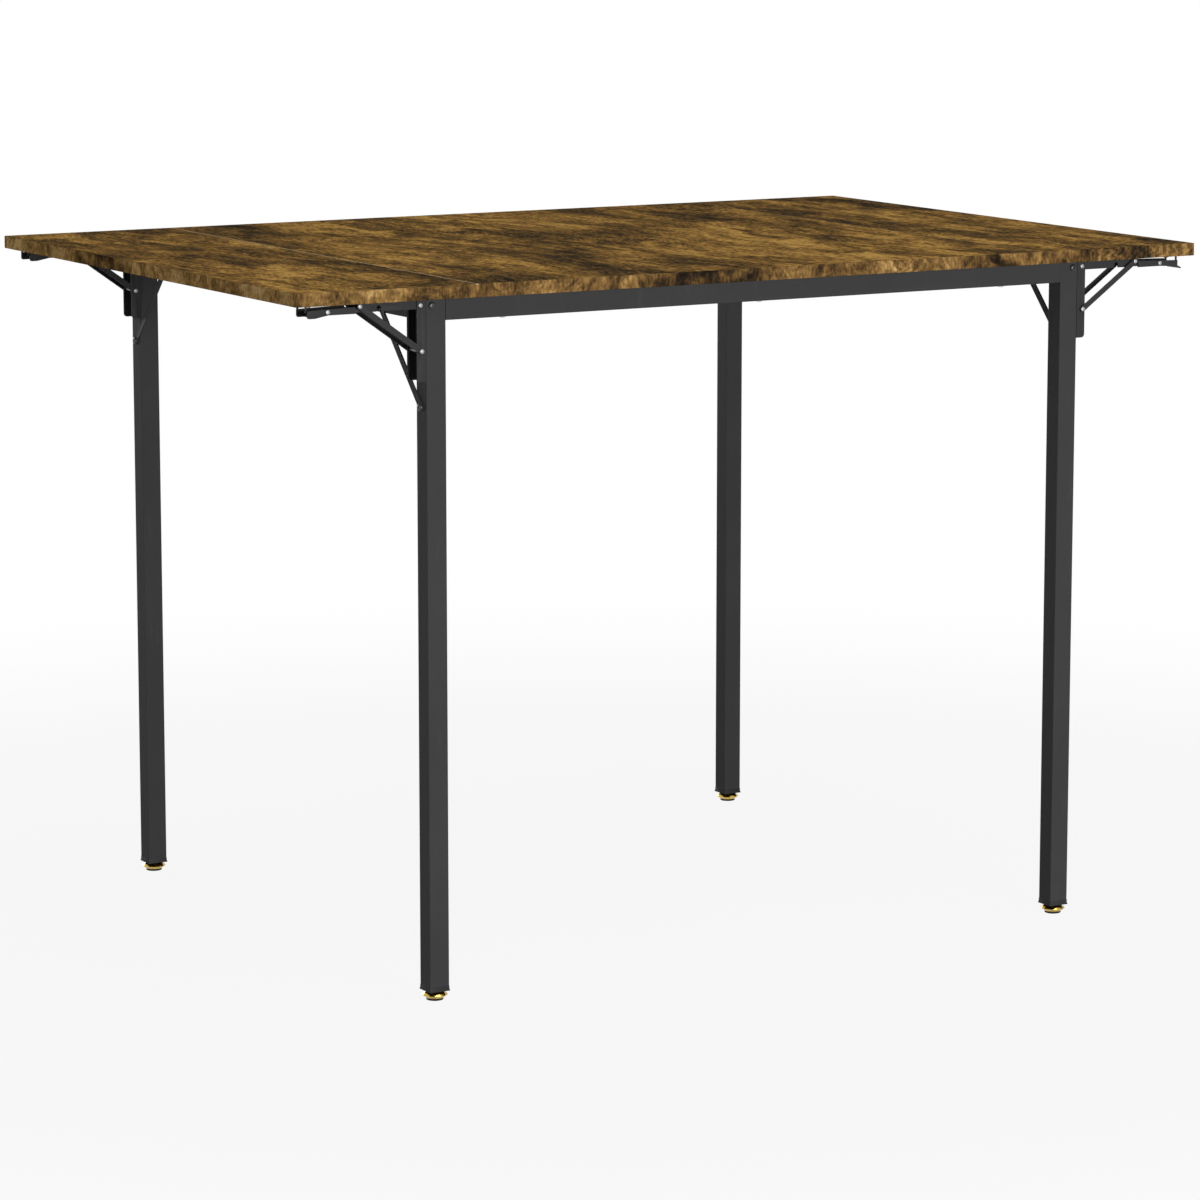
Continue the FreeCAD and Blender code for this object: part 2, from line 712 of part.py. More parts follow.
def make_arm(side, depth):
    """Folding arm under the leaf: deep walls inboard, low rails and an end plate outboard."""
    name = f"bracket_arm_{depth}_{side}"
    across = (f"-({ARM_FACE}) - sheet_thick", f"{ARM_FACE} + sheet_thick")
    plate = ("pivot_drop - sheet_thick", "pivot_drop")
    solids = flange_pair(name + "_deep", ("arm_start", "arm_flange_long"),
                         ("-arm_eye", "pivot_drop"), ARM_FACE)
    solids += flange_pair(name + "_low", ("arm_start", "arm_tail_from"),
                          ("-arm_low_bottom", "arm_low_top"), ARM_FACE)
    solids += flange_pair(name + "_tail", ("arm_flange_long", "arm_long"),
                          ("-arm_tail_bottom", "arm_low_top"), ARM_FACE)
    solids += flange_pair(name + "_tab", ("arm_long - end_tab", "arm_long"),
                          ("-arm_tail_bottom", "pivot_drop"), ARM_FACE)
    solids += both_ways(name + "_eye", "arm_eye", "sheet_thick", ("0", "0"), ARM_FACE)
    solids.append(slab(name + "_web", ("arm_start", "arm_web_long"), across, plate))
    solids.append(slab(name + "_end", ("end_plate_from", "arm_long"), across, plate))
    wide = "tube_side + 2 * overrun"
    start = "-tube_side / 2 - overrun"
    tools = [rod(name + "_pivot", "pin_radius + pin_gap", wide, ("0", start, "0"), "y"),
             rod(name + "_latch", "latch_pin + slip_gap", wide, ("latch_out", start, "-latch_drop"), "y"),
             rod(name + "_notch", "pin_radius + notch_gap", wide, ("strut_drop", start, "0"), "y"),
             slab(name + "_mouth",
                  ("strut_drop - pin_radius - notch_gap", "strut_drop + pin_radius + notch_gap"),
                  (start, f"{start} + {wide}"), ("-arm_eye - overrun", "0"))]
    for number, word in enumerate(("near_screw_place", "far_screw_place", "end_screw_place")):
        tools.append(rod(f"{name}_hole_{number}", "screw_radius + slip_gap", "sheet_thick + 2 * overrun",
                         (word, "0", "pivot_drop - sheet_thick - overrun")))
    keep(seat(cut(name + "_cut", fuse(name + "_solid", solids), tools), side, depth), name)


def strut_angle():
    """Slope of the strut when the leaf is up."""
    return math.degrees(math.atan2(size("knee_rise") + size("strut_drop"), size("knee_out")))


def seat_strut(item, side, depth):
    """Place a piece drawn along the strut: lower pin at zero, knee along X."""
    seat(item, side, depth)
    turn = item.Placement.Rotation * Rotation(Vector(0, 1, 0), -strut_angle())
    item.Placement = Placement(item.Placement.Base, turn)
    bind(item, "Placement.Base.z", f"{PIVOT_HEIGHT} - strut_drop")
    return item


def make_strut(side, depth):
    """Two flat side bars from the lower pin up to the knee."""
    name = f"bracket_strut_{depth}_{side}"
    bars = [capsule(name + "_near_bar", "strut_span", "strut_wide", "sheet_thick",
                    f"-({STRUT_FACE}) - sheet_thick"),
            capsule(name + "_far_bar", "strut_span", "strut_wide", "sheet_thick", STRUT_FACE)]
    wide = "2 * tube_side"
    holes = []
    for number, place in enumerate(("0", "strut_span")):
        holes.append(rod(f"{name}_hole_{number}", "pin_radius", wide, (place, "-tube_side", "0"), "y"))
    pair = group(name + "_pair", bars)
    keep(seat_strut(cut(name + "_cut", pair, holes), side, depth), name)


def make_strut_pins(side, depth):
    """The lower pin with its spacing collars, and the two knee rivets."""
    name = f"strut_pins_{depth}_{side}"
    outer = f"({STRUT_FACE} + sheet_thick)"
    pin = [rod(name + "_pin", "pin_radius", f"2 * {outer}", ("0", f"-{outer}", "0"), "y")]
    pin += both_ways(name + "_head", "pin_head", "head_thick", ("0", "0"), outer)
    pin += both_ways(name + "_collar", "pin_head", f"{STRUT_FACE} - tube_side / 2 - pin_gap",
                     ("0", "0"), "tube_side / 2 + pin_gap")
    shanks = both_ways(name + "_knee", "pin_radius", "sheet_thick", ("strut_span", "0"), STRUT_FACE)
    heads = both_ways(name + "_knee_head", "pin_head", "head_thick", ("strut_span", "0"), outer)
    rivets = [fuse(f"{name}_rivet_{number}", pair) for number, pair in enumerate(zip(shanks, heads))]
    keep(seat_strut(group(name + "_set", [fuse(name + "_lower", pin)] + rivets), side, depth), name)


def make_arm_pins():
    """The upper pins, each through a channel and its arm, headed on both sides."""
    pins = []
    for depth, side in CORNERS:
        name = f"arm_pin_{depth}_{side}"
        solids = [rod(name + "_shank", "pin_radius", "tube_side", ("0", "-tube_side / 2", "0"), "y")]
        solids += both_ways(name + "_head", "pin_head", "head_thick", ("0", "0"), "tube_side / 2")
        pins.append(seat(fuse(name, solids), side, depth))
    keep(group("arm_pin_set", pins), "arm_pins")


def make_lever_pins(side):
    """Flush headed pins on which the release levers rock."""
    pins = []
    for depth in DEPTHS:
        name = f"lever_pin_{depth}_{side}"
        outer = f"({LEVER_FACE} + sheet_thick)"
        at = ("latch_out", "-latch_drop")
        solids = [rod(name + "_shank", "latch_pin", f"2 * {outer}", (at[0], f"-{outer}", at[1]), "y")]
        solids += both_ways(name + "_head", "pin_head", "latch_sink", at, f"{outer} - latch_sink")
        pins.append(seat(fuse(name, solids), side, depth))
    keep(group(f"{side}_lever_pin_set", pins), f"{side}_lever_pins")


def upright_face(points, across):
    """A flat face standing along the bracket, from its corners as X and Z."""
    return Part.Face(Part.makePolygon([Vector(x, across, z) for x, z in points + points[:1]]))


def lipped_wall(across):
    """Wall of a right lever: its lower edge slopes down to the lip."""
    inner, outer = size("lever_from"), size("lever_long")
    return upright_face([(inner, size("lever_top_in")), (outer, size("lever_top_out")),
                         (outer, -size("lever_tail_bottom")), (size("latch_out"), -size("lever_bottom")),
                         (inner, -size("lever_bottom"))], across)


def toed_wall(across):
    """Wall of a left lever: its outer end drops to a rounded toe."""
    inner, outer = size("lever_from"), size("lever_long")
    toe, bend = size("toe_bottom"), size("toe_round")
    sharp = upright_face([(inner, size("lever_top_in")), (outer, size("lever_top_out")), (outer, -toe),
                          (outer - size("toe_long"), -toe), (size("latch_out"), -size("lever_bottom")),
                          (inner, -size("lever_bottom"))], across)
    corner = upright_face([(outer - bend, bend - toe), (outer, bend - toe), (outer, -toe),
                           (outer - bend, -toe)], across)
    ring = Part.makeCircle(bend, Vector(outer - bend, across, bend - toe), Vector(0, 1, 0))
    disc = Part.Face(Part.Wire(ring))
    return sharp.cut(corner.cut(disc)).Faces[0]


def lipped_floor(half):
    """Floor plate of a right lever, bent down into a finger lip at its outer end."""
    latch, long, start = size("latch_out"), size("lever_long"), size("lever_web_from")
    low, tail = size("lever_bottom"), size("lever_tail_bottom")
    start_low = low + (tail - low) * (start - latch) / (long - latch)
    lower = [(start, -start_low), (long, -tail), (size("lip_long"), -size("lip_drop"))]
    upper = [(x, z + size("sheet_thick")) for x, z in reversed(lower)]
    return upright_face(lower + upper, -half).extrude(Vector(0, 2 * half, 0))


def toed_floor(half):
    """Floor plate of a left lever, set in from its open outer end."""
    start, toe = size("lever_web_from"), size("toe_bottom")
    latch, low = size("latch_out"), size("lever_bottom")
    slope = (toe - low) / (size("lever_long") - size("toe_long") - latch)
    end = start + size("toe_floor_long")
    lower = [(start, -low - slope * (start - latch)), (end, -low - slope * (end - latch))]
    upper = [(x, z + size("sheet_thick")) for x, z in reversed(lower)]
    return upright_face(lower + upper, -half).extrude(Vector(0, 2 * half, 0))


def make_lever(side, depth):
    """Release lever: two walls outside the arm, tied by a floor plate."""
    name = f"release_lever_{depth}_{side}"
    wall, floor = (toed_wall, toed_floor) if side == "left" else (lipped_wall, lipped_floor)
    thick = size("sheet_thick")
    face = size("tube_side") / 2 + size("plate_gap")
    near = wall(-face - thick).extrude(Vector(0, thick, 0))
    far = wall(face).extrude(Vector(0, thick, 0))
    solid = near.fuse([far, floor(face + thick)])
    wide = 2 * size("tube_side")
    centre = Vector(size("latch_out"), 0, -size("latch_drop"))
    tools = [Part.makeCylinder(size("latch_pin") + size("pin_gap"), wide, centre - Vector(0, wide / 2, 0),
                               Vector(0, 1, 0))]
    sink = face + thick - size("latch_sink") - size("pin_gap")
    for way in (-1, 1):
        tools.append(Part.makeCylinder(size("pin_head") + size("pin_gap"), wide,
                                       centre + Vector(0, way * sink, 0), Vector(0, way, 0)))
    for tool in tools:
        solid = solid.cut(tool)
    item = document.addObject("Part::Feature", name + "_shape")
    item.Shape = solid.removeSplitter()
    keep(seat(item, side, depth), name)


def make_lever_springs(side):
    """Small coil springs round the lever pins."""
    springs = []
    for depth in DEPTHS:
        name = f"lever_spring_{depth}_{side}"
        coil = document.addObject("Part::Helix", name + "_line")
        for prop, word in (("Pitch", "spring_pitch"), ("Height", "spring_long"), ("Radius", "spring_radius")):
            bind(coil, prop, word)
        wire = document.addObject("Part::Circle", name + "_wire")
        bind(wire, "Radius", "spring_wire")
        wire.Placement = Placement(Vector(), Rotation(Vector(1, 0, 0), 90))
        bind(wire, "Placement.Base.x", "spring_radius")
        sweep = document.addObject("Part::Sweep", name)
        sweep.Sections = [wire]
        sweep.Spine = (coil, [])
        sweep.Solid = True
        sweep.Frenet = True
        laid = document.addObject("Part::Compound", name + "_laid")
        laid.Links = [sweep]
        laid.Placement = Placement(Vector(), Rotation(Vector(-1, 0, 0), 90))
        place_at(laid, ("latch_out", "-spring_long / 2", "-latch_drop"))
        springs.append(seat(group(name + "_seated", [laid]), side, depth))
    keep(group(f"{side}_lever_spring_set", springs), f"{side}_lever_springs")


def add_spans():
    """Lengths that follow from the others, kept in the sheet beside them."""
    row = len(SIZES) + 1
    spans = {"frame_depth": "=table_depth - 2 * depth_overhang",
             "brace_span": "=sqrt((brace_drop - tube_side / 2)^2 + brace_run^2)",
             "strut_span": "=sqrt((strut_drop + knee_rise)^2 + knee_out^2)"}
    for offset, (word, text) in enumerate(spans.items()):
        sheet.set(f"A{row + offset}", word)
        sheet.set(f"B{row + offset}", text)
        sheet.setAlias(f"B{row + offset}", word)
    document.recompute()


def build():
    """Every piece of the table."""
    add_spans()
    make_centre_board()
    for side in SIDES:
        make_leaf(side)
        make_end_rail(side)
        make_leaf_screws(side)
        make_lever_pins(side)
        make_lever_springs(side)
    for depth in DEPTHS:
        make_long_rail(depth)
    for depth, side in CORNERS:
        for make in (make_leg, make_cap, make_foot, make_brace, make_channel, make_arm,
                     make_strut, make_strut_pins, make_lever):
            make(side, depth)
    for make in (make_rail_plugs, make_corner_bolts, make_brace_bolts, make_channel_screws,
                 make_rail_screws, make_foot_nuts, make_arm_pins):
        make()
    document.recompute()


def check():
    """Stop if any object failed or any piece is not a valid solid."""
    for item in document.Objects:
        if "Invalid" in item.State or "Error" in item.State:
            raise RuntimeError(f"{item.Name} failed: {item.State}")
    for item in parts:
        shape = item.Shape
        if shape.isNull() or not shape.isValid() or not shape.Solids:
            raise RuntimeError(f"{item.Label} has no valid solid")


def write():
    """One file for each piece."""
    os.makedirs("parts", exist_ok=True)
    for item in parts:
        item.Shape.exportStep(os.path.join("parts", item.Label + ".step"))
    print(len(parts), "pieces written")


build()
check()
write()
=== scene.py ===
"""Looks of a drop leaf dining table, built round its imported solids, in metres."""

from __future__ import annotations

import json
import logging
import math
from dataclasses import dataclass, field
from enum import Enum
from typing import Any, Sequence, Union

import bmesh
import bpy
from mathutils import Matrix, Vector

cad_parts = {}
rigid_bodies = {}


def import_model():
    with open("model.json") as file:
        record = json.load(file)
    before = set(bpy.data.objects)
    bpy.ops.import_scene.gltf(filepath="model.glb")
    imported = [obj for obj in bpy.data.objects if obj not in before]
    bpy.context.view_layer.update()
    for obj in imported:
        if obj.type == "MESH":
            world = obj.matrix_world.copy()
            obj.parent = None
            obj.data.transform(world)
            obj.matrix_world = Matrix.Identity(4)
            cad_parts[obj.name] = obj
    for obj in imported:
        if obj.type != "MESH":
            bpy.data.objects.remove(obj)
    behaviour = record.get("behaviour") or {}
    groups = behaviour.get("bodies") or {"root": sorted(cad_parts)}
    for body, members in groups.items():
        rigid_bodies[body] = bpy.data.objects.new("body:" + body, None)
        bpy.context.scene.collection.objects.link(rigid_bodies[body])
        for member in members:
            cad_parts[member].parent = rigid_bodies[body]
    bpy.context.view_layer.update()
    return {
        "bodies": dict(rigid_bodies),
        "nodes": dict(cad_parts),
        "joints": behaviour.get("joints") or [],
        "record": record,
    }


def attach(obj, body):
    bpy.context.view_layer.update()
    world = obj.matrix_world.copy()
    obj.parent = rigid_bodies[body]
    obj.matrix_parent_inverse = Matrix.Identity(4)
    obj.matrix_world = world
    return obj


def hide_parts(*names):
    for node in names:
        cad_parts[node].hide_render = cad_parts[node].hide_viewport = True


LOG = logging.getLogger("table")
MM = 0.001


class Way(Enum):
    """A direction, with the word that node names use for it."""

    @property
    def word(self) -> str:
        """The direction's word in node names."""
        return self.name.lower()


class Side(Way):
    """The two ends of the table, valued by their way along X."""

    LEFT = -1
    RIGHT = 1


class Depth(Way):
    """The two long sides of the table, valued by their way along Y."""

    FRONT = -1
    BACK = 1


class Socket(Enum):
    """Drive shapes sunk into the heads of bolts and screws."""

    HEXAGON = "hexagon"
    CROSS = "cross"


class Slot(Enum):
    """Material slots of the record."""

    BOARD = "board"
    FRAME = "frame"
    BRACKET = "bracket"
    CAP = "cap"
    FOOT = "foot"
    RUBBER = "rubber"
    BLACK_BOLT = "black_bolt"
    RIVET = "rivet"
    ZINC = "zinc"


CORNERS = tuple((depth, side) for depth in Depth for side in Side)
RAYS = ("Camera", "Glossy", "Transmission")
WHITE = (1.0, 1.0, 1.0)
WELD = 1e-7
SLIVER = 1e-8
CROSS_WAIST = 0.34
CROSS_POWER = 5

Triple = tuple[float, float, float]
Colour = Triple
Stops = tuple[tuple[float, Colour], ...]
Span = tuple[float, float]
Outline = tuple[Span, ...]
Link = bpy.types.NodeSocket


# Shader maths

Plug = Union["Wire", Link, float, int, Sequence[float]]


@dataclass(frozen=True)
class Layer:
    """One layer of noise: cells in a metre each way, its weight, and a part that sets it off."""

    cells: Span
    weight: float
    part: float = 0.0
    detail: float = 3.0
    rough: float = 0.55
    twist: float = 0.0


class Wire:
    """A value socket that adds Math nodes when operators are used on it."""

    def __init__(self, bench: "Bench", socket: Link) -> None:
        """Keep the socket with the bench that it belongs to."""
        self.bench = bench
        self.socket = socket

    def _math(self, operation: str, *values: Plug) -> "Wire":
        """One Math node.

        Args:
            operation: the node's operation.
            values: its inputs in order.

        Returns:
            The node's output.
        """
        node = self.bench.node("ShaderNodeMath", {"operation": operation}, dict(enumerate(values)))
        return Wire(self.bench, node.outputs[0])

    def __add__(self, other: Plug) -> "Wire":
        """Sum."""
        return self._math("ADD", self, other)

    __radd__ = __add__

    def __mul__(self, other: Plug) -> "Wire":
        """Product."""
        return self._math("MULTIPLY", self, other)

    def __sub__(self, other: Plug) -> "Wire":
        """Difference."""
        return self._math("SUBTRACT", self, other)

    def __rsub__(self, other: Plug) -> "Wire":
        """Difference the other way."""
        return self._math("SUBTRACT", other, self)

    def __pow__(self, other: Plug) -> "Wire":
        """Power."""
        return self._math("POWER", self, other)

    def __abs__(self) -> "Wire":
        """Size without sign."""
        return self._math("ABSOLUTE", self)

    def sine(self) -> "Wire":
        """Sine of an angle."""
        return self._math("SINE", self)

    def step(self, low: float, high: float) -> "Wire":
        """Smooth rise from 0 at low to 1 at high, or a fall where low is above high.

        Args:
            low: where the result is 0.
            high: where it is 1.

        Returns:
            The eased value.
        """
        first, last, start, end = (low, high, 0.0, 1.0) if low < high else (high, low, 1.0, 0.0)
        node = self.bench.node(
            "ShaderNodeMapRange",
            {"interpolation_type": "SMOOTHSTEP", "clamp": True},
            {"Value": self, "From Min": first, "From Max": last, "To Min": start, "To Max": end},
        )
        return Wire(self.bench, node.outputs["Result"])


class Bench:
    """Makes the nodes of one material."""

    def __init__(self, name: str) -> None:
        """Start an empty material.

        Args:
            name: the material's name.
        """
        self.material = bpy.data.materials.new(name)
        self.material.use_nodes = True
        self.tree = self.material.node_tree
        self.tree.nodes.clear()
        self.space = self.node("ShaderNodeTexCoord", {}, {})

    def node(self, kind: str, settings: dict[str, Any], inputs: dict[Any, Plug]) -> bpy.types.Node:
        """Make one node.

        Args:
            kind: the node's type.
            settings: attributes, and under "stops" the colours of a ramp.
            inputs: values or links, by the name or number of the socket.

        Returns:
            The node.
        """
        made = self.tree.nodes.new(kind)
        for word, value in settings.items():
            if word == "stops":
                self._fill_ramp(made, value)
            else:
                setattr(made, word, value)
        for key, value in inputs.items():
            socket = made.inputs[key]
            if isinstance(value, Wire):
                self.tree.links.new(value.socket, socket)
            elif isinstance(value, Link):
                self.tree.links.new(value, socket)
            else:
                socket.default_value = value
        return made

    @staticmethod
    def _fill_ramp(made: bpy.types.Node, stops: Stops) -> None:
        """Set the stops of a colour ramp.

        Args:
            made: the ramp node.
            stops: place and linear colour of each stop, in order.
        """
        ramp = made.color_ramp
        while len(ramp.elements) < len(stops):
            ramp.elements.new(0.5)
        for element, (place, colour) in zip(ramp.elements, stops):
            element.position = place
            element.color = (*colour, 1.0)

    @property
    def where(self) -> Link:
        """Object coordinates."""
        return self.space.outputs["Object"]

    def stretched(self, scale: Sequence[float]) -> Link:
        """Object coordinates scaled along each axis.

        Args:
            scale: factors along X, Y and Z.

        Returns:
            The scaled vector.
        """
        inputs = {0: self.where, 1: tuple(scale)}
        return self.node("ShaderNodeVectorMath", {"operation": "MULTIPLY"}, inputs).outputs[0]

    def axes(self, vector: Plug | None = None) -> tuple[Wire, Wire, Wire]:
        """The three parts of a vector, of the object coordinates where none is given."""
        node = self.node("ShaderNodeSeparateXYZ", {}, {0: self.where if vector is None else vector})
        return Wire(self, node.outputs[0]), Wire(self, node.outputs[1]), Wire(self, node.outputs[2])

    def vector(self, x: Plug, y: Plug, z: Plug) -> Link:
        """A vector from three values."""
        return self.node("ShaderNodeCombineXYZ", {}, {0: x, 1: y, 2: z}).outputs[0]

    def noise(self, vector: Plug, scale: float = 1.0, detail: float = 3.0, rough: float = 0.55,
              twist: float = 0.0) -> Wire:
        """Soft noise, about a half on average.

        Args:
            vector: where it is read.
            scale: cells in a metre of that vector.
            detail: how many finer layers.
            rough: their weight.
            twist: distortion.

        Returns:
            The noise value.
        """
        made = self.node("ShaderNodeTexNoise", {}, {"Vector": vector, "Scale": scale, "Detail": detail,
                                                    "Roughness": rough, "Distortion": twist})
        return Wire(self, made.outputs[0])

    def layer(self, vector: Plug, layer: Layer) -> Wire:
        """A layer of noise about zero, times its weight."""
        return (self.noise(vector, 1.0, layer.detail, layer.rough, layer.twist) - 0.5) * layer.weight

    def cells(self, vector: Plug) -> tuple[Wire, Wire]:
        """Scattered cells.

        Args:
            vector: where they are read.

        Returns:
            How far the nearest cell's heart is, and that cell's own number from 0 to 1.
        """
        made = self.node("ShaderNodeTexVoronoi", {"feature": "F1"}, {"Vector": vector, "Scale": 1.0})
        pick, _, _ = self.axes(made.outputs["Color"])
        return Wire(self, made.outputs["Distance"]), pick

    def ramp(self, value: Plug, stops: Stops) -> Link:
        """A colour ramp on a value."""
        return self.node("ShaderNodeValToRGB", {"stops": stops}, {0: value}).outputs[0]

    def mix(self, factor: Plug, first: Plug, second: Plug) -> Link:
        """One colour blended into another.

        Args:
            factor: 0 for the first, 1 for the second.
            first: a colour or a link.
            second: a colour or a link.

        Returns:
            The blended colour.
        """
        inputs = {0: factor, 6: rgba(first), 7: rgba(second)}
        return self.node("ShaderNodeMix", {"data_type": "RGBA"}, inputs).outputs[2]

    def bump(self, height: Plug, strength: float, distance: float) -> Link:
        """A normal from a height in metres times distance."""
        return self.node("ShaderNodeBump", {}, {"Height": height, "Strength": strength,
                                                "Distance": distance}).outputs[0]

    def close(self, inputs: dict[str, Plug]) -> bpy.types.Material:
        """Put the surface shader in and finish the material.

        Args:
            inputs: the shader's sockets.

        Returns:
            The material.
        """
        shader = self.node("ShaderNodeBsdfPrincipled", {}, inputs)
        self.node("ShaderNodeOutputMaterial", {}, {"Surface": shader.outputs[0]})
        return self.material


def rgba(value: Plug) -> Plug:
    """A plain colour with its alpha, and a link as it is."""
    return (*value, 1.0) if isinstance(value, tuple) and len(value) == 3 else value


# Finishes

@dataclass(frozen=True)
class Ripple:
    """Wavy rows of marks: radians in a metre along X and Y, and radians that drift adds."""

    x: float
    y: float
    drift: float

    def wave(self, x: Wire, y: Wire, drift: Wire) -> Wire:
        """The height of the rows, from -1 to 1."""
        return (x * self.x + y * self.y + drift * self.drift).sine()


@dataclass(frozen=True)
class Knots:
    """Sparse dark knots, each with a heart and a halo that may hold rings."""

    cells: Span
    rare: Span
    heart: Span
    halo: Span
    heart_dark: float
    halo_dark: float
    ring_dark: float = 0.0
    ring_turns: float = 130.0
    ring_wobble: float = 6.0
    wobble_cells: Triple = (40.0, 14.0, 1.0)

    def shade(self, bench: Bench, vector: Plug) -> Wire:
        """How dark the knots are.

        Args:
            bench: where the nodes are made.
            vector: where the cells are read.

        Returns:
            How much darker each point is.
        """
        reach, pick = bench.cells(vector)
        rim: Plug = self.halo_dark
        if self.ring_dark:
            wobble = bench.noise(bench.stretched(self.wobble_cells), 1.0, 2.0) * self.ring_wobble
            rim = (reach * self.ring_turns + wobble).sine() * self.ring_dark + self.halo_dark
        dark = reach.step(*self.heart) * self.heart_dark + reach.step(*self.halo) * rim
        return pick.step(*self.rare) * dark


@dataclass(frozen=True)
class PrintedBoard:
    """Rustic timber print on a board: grain along Y on the faces, knotty figure on the edges."""

    faces: Stops = (
        (0.0, (0.020, 0.015, 0.010)),
        (0.22, (0.049, 0.035, 0.021)),
        (0.38, (0.090, 0.055, 0.023)),
        (0.50, (0.138, 0.079, 0.027)),
        (0.62, (0.215, 0.118, 0.036)),
        (0.76, (0.345, 0.192, 0.053)),
        (1.0, (0.520, 0.315, 0.084)),
    )
    edges: Stops = (
        (0.0, (0.012, 0.009, 0.006)),
        (0.20, (0.034, 0.021, 0.011)),
        (0.36, (0.078, 0.044, 0.016)),
        (0.50, (0.134, 0.075, 0.026)),
        (0.64, (0.205, 0.118, 0.039)),
        (0.80, (0.320, 0.195, 0.070)),
        (1.0, (0.450, 0.300, 0.130)),
    )
    facing: Span = (0.75, 0.85)
    # The faces
    face_base: float = 0.562
    left_lift: float = 0.04
    right_fall: float = 0.05
    right_span: Span = (0.10, 0.45)
    sway: Layer = Layer((4.0, 2.2), 0.12)
    grain: tuple[Layer, ...] = (
        Layer((9.0, 3.2), 1.25, 0.3),
        Layer((26.0, 10.0), 1.4, 7.1, 4.0, 0.62, 0.9),
        Layer((90.0, 10.0), 0.7, 3.7, 4.0, 0.65),
        Layer((500.0, 85.0), 1.25, 1.9, 2.0, 0.6),
    )
    face_knots: Knots = Knots((5.6, 3.4), (0.40, 0.50), (0.09, 0.0), (0.26, 0.04), 0.38, 0.07, 0.06)
    saw_rows: Ripple = Ripple(110.0, 470.0, 17.0)
    saw_ticks: Ripple = Ripple(640.0, -60.0, 24.0)
    tick_share: float = 0.6
    saw_dark: float = 0.38
    # The edges
    edge_base: float = 0.445
    # painted light: end faces, which face along X, are printed lighter by this much
    end_lift: float = 0.24
    figure: tuple[Layer, ...] = (
        Layer((8.0, 9.0), 1.6, 4.0, 4.0, 0.62),
        Layer((34.0, 34.0), 1.6, 9.0, 4.0, 0.62, 1.2),
        Layer((330.0, 150.0), 0.8, 2.0),
    )
    curl_cells: Span = (11.0, 42.0)
    curl_pitch: float = 560.0
    curl_turns: float = 26.0
    curl_weight: float = 0.13
    zone_cells: Span = (6.0, 2.0)
    zone_part: float = 13.0
    zone_span: Span = (0.48, 0.60)
    edge_knots: Knots = Knots((9.0, 42.0), (0.50, 0.58), (0.22, 0.04), (0.5, 0.2), 0.55, 0.10)
    # The pale lines where the three prints part, a painted highlight of light caught along the joints,
    # fainter towards the right
    groove: Colour = (0.62, 0.50, 0.32)
    groove_place: float = 0.356
    groove_half: float = 0.0010
    groove_core: float = 0.7
    groove_low: float = 0.7590
    groove_ease: float = 0.0003
    worn_span: Span = (0.05, -0.05)
    worn_least: float = 0.25
    print_blend: float = 0.0001
    print_parts: Span = (5.3, 9.1)
    # The surface
    matt: float = 0.74
    sheen: float = 0.14
    relief: Span = (0.30, 0.0005)
    grain_relief: float = 0.6
    saw_relief: float = 0.5
    specular: float = 0.0

    def _sheet(self, bench: Bench) -> Wire:
        """A different number for each of the three prints that the thin lines part."""
        x, _, _ = bench.axes()
        near, far = self.groove_place - self.print_blend, self.groove_place + self.print_blend
        right, left = self.print_parts
        return x.step(near, far) * right + x.step(-near, -far) * left

    def _face_tone(self, bench: Bench) -> Wire:
        """Light and dark of the print on the two faces.

        Args:
            bench: where the nodes are made.

        Returns:
            A tone from dark to light.
        """
        sheet = self._sheet(bench)
        x, y, _ = bench.axes()
        sway = self.sway
        across = x + bench.layer(bench.vector(x * sway.cells[0], y * sway.cells[1], sheet), sway)
        line = -self.groove_place
        lift = x.step(line, line - 2 * self.print_blend) * self.left_lift
        tone = lift - x.step(*self.right_span) * self.right_fall + self.face_base
        for layer in self.grain:
            spot = bench.vector(across * layer.cells[0], y * layer.cells[1], sheet + layer.part)
            tone = tone + bench.layer(spot, layer)
        knots = self.face_knots
        return tone - knots.shade(bench, bench.vector(across * knots.cells[0], y * knots.cells[1], sheet))

    def _saw_marks(self, bench: Bench) -> Wire:
        """Fine broken marks of a saw across the grain."""
        x, y, _ = bench.axes()
        drift = bench.noise(bench.stretched((34.0, 22.0, 1.0)))
        rows = self.saw_rows.wave(x, y, drift).step(0.0, 0.9)
        ticks = self.saw_ticks.wave(x, y, drift).step(-0.9, 0.6)
        broken = bench.noise(bench.stretched((120.0, 60.0, 1.0)), 1.0, 2.0).step(0.38, 0.62)
        return rows * (ticks * self.tick_share + (1.0 - self.tick_share)) * broken

    def _edge_tone(self, bench: Bench) -> Wire:
        """Light and dark of the knotty print along the board's edges.

        Args:
            bench: where the nodes are made.

        Returns:
            A tone from dark to light.
        """
        x, y, z = bench.axes()
        along = x + y

        def spot(cells: Span, part: float) -> Link:
            """A place along the edge and up it."""
            return bench.vector(along * cells[0], part, z * cells[1])

        curl = bench.noise(spot(self.curl_cells, 0.0), 1.0, 3.0, 0.6, 0.8)
        curls = (along * self.curl_pitch + curl * self.curl_turns).sine()
        zone = bench.noise(spot(self.zone_cells, self.zone_part), 1.0, 1.0).step(*self.zone_span)
        tone = curls * zone * self.curl_weight + self.edge_base
        for layer in self.figure:
            tone = tone + bench.layer(spot(layer.cells, layer.part), layer)
        return tone - self.edge_knots.shade(bench, spot(self.edge_knots.cells, 0.0))

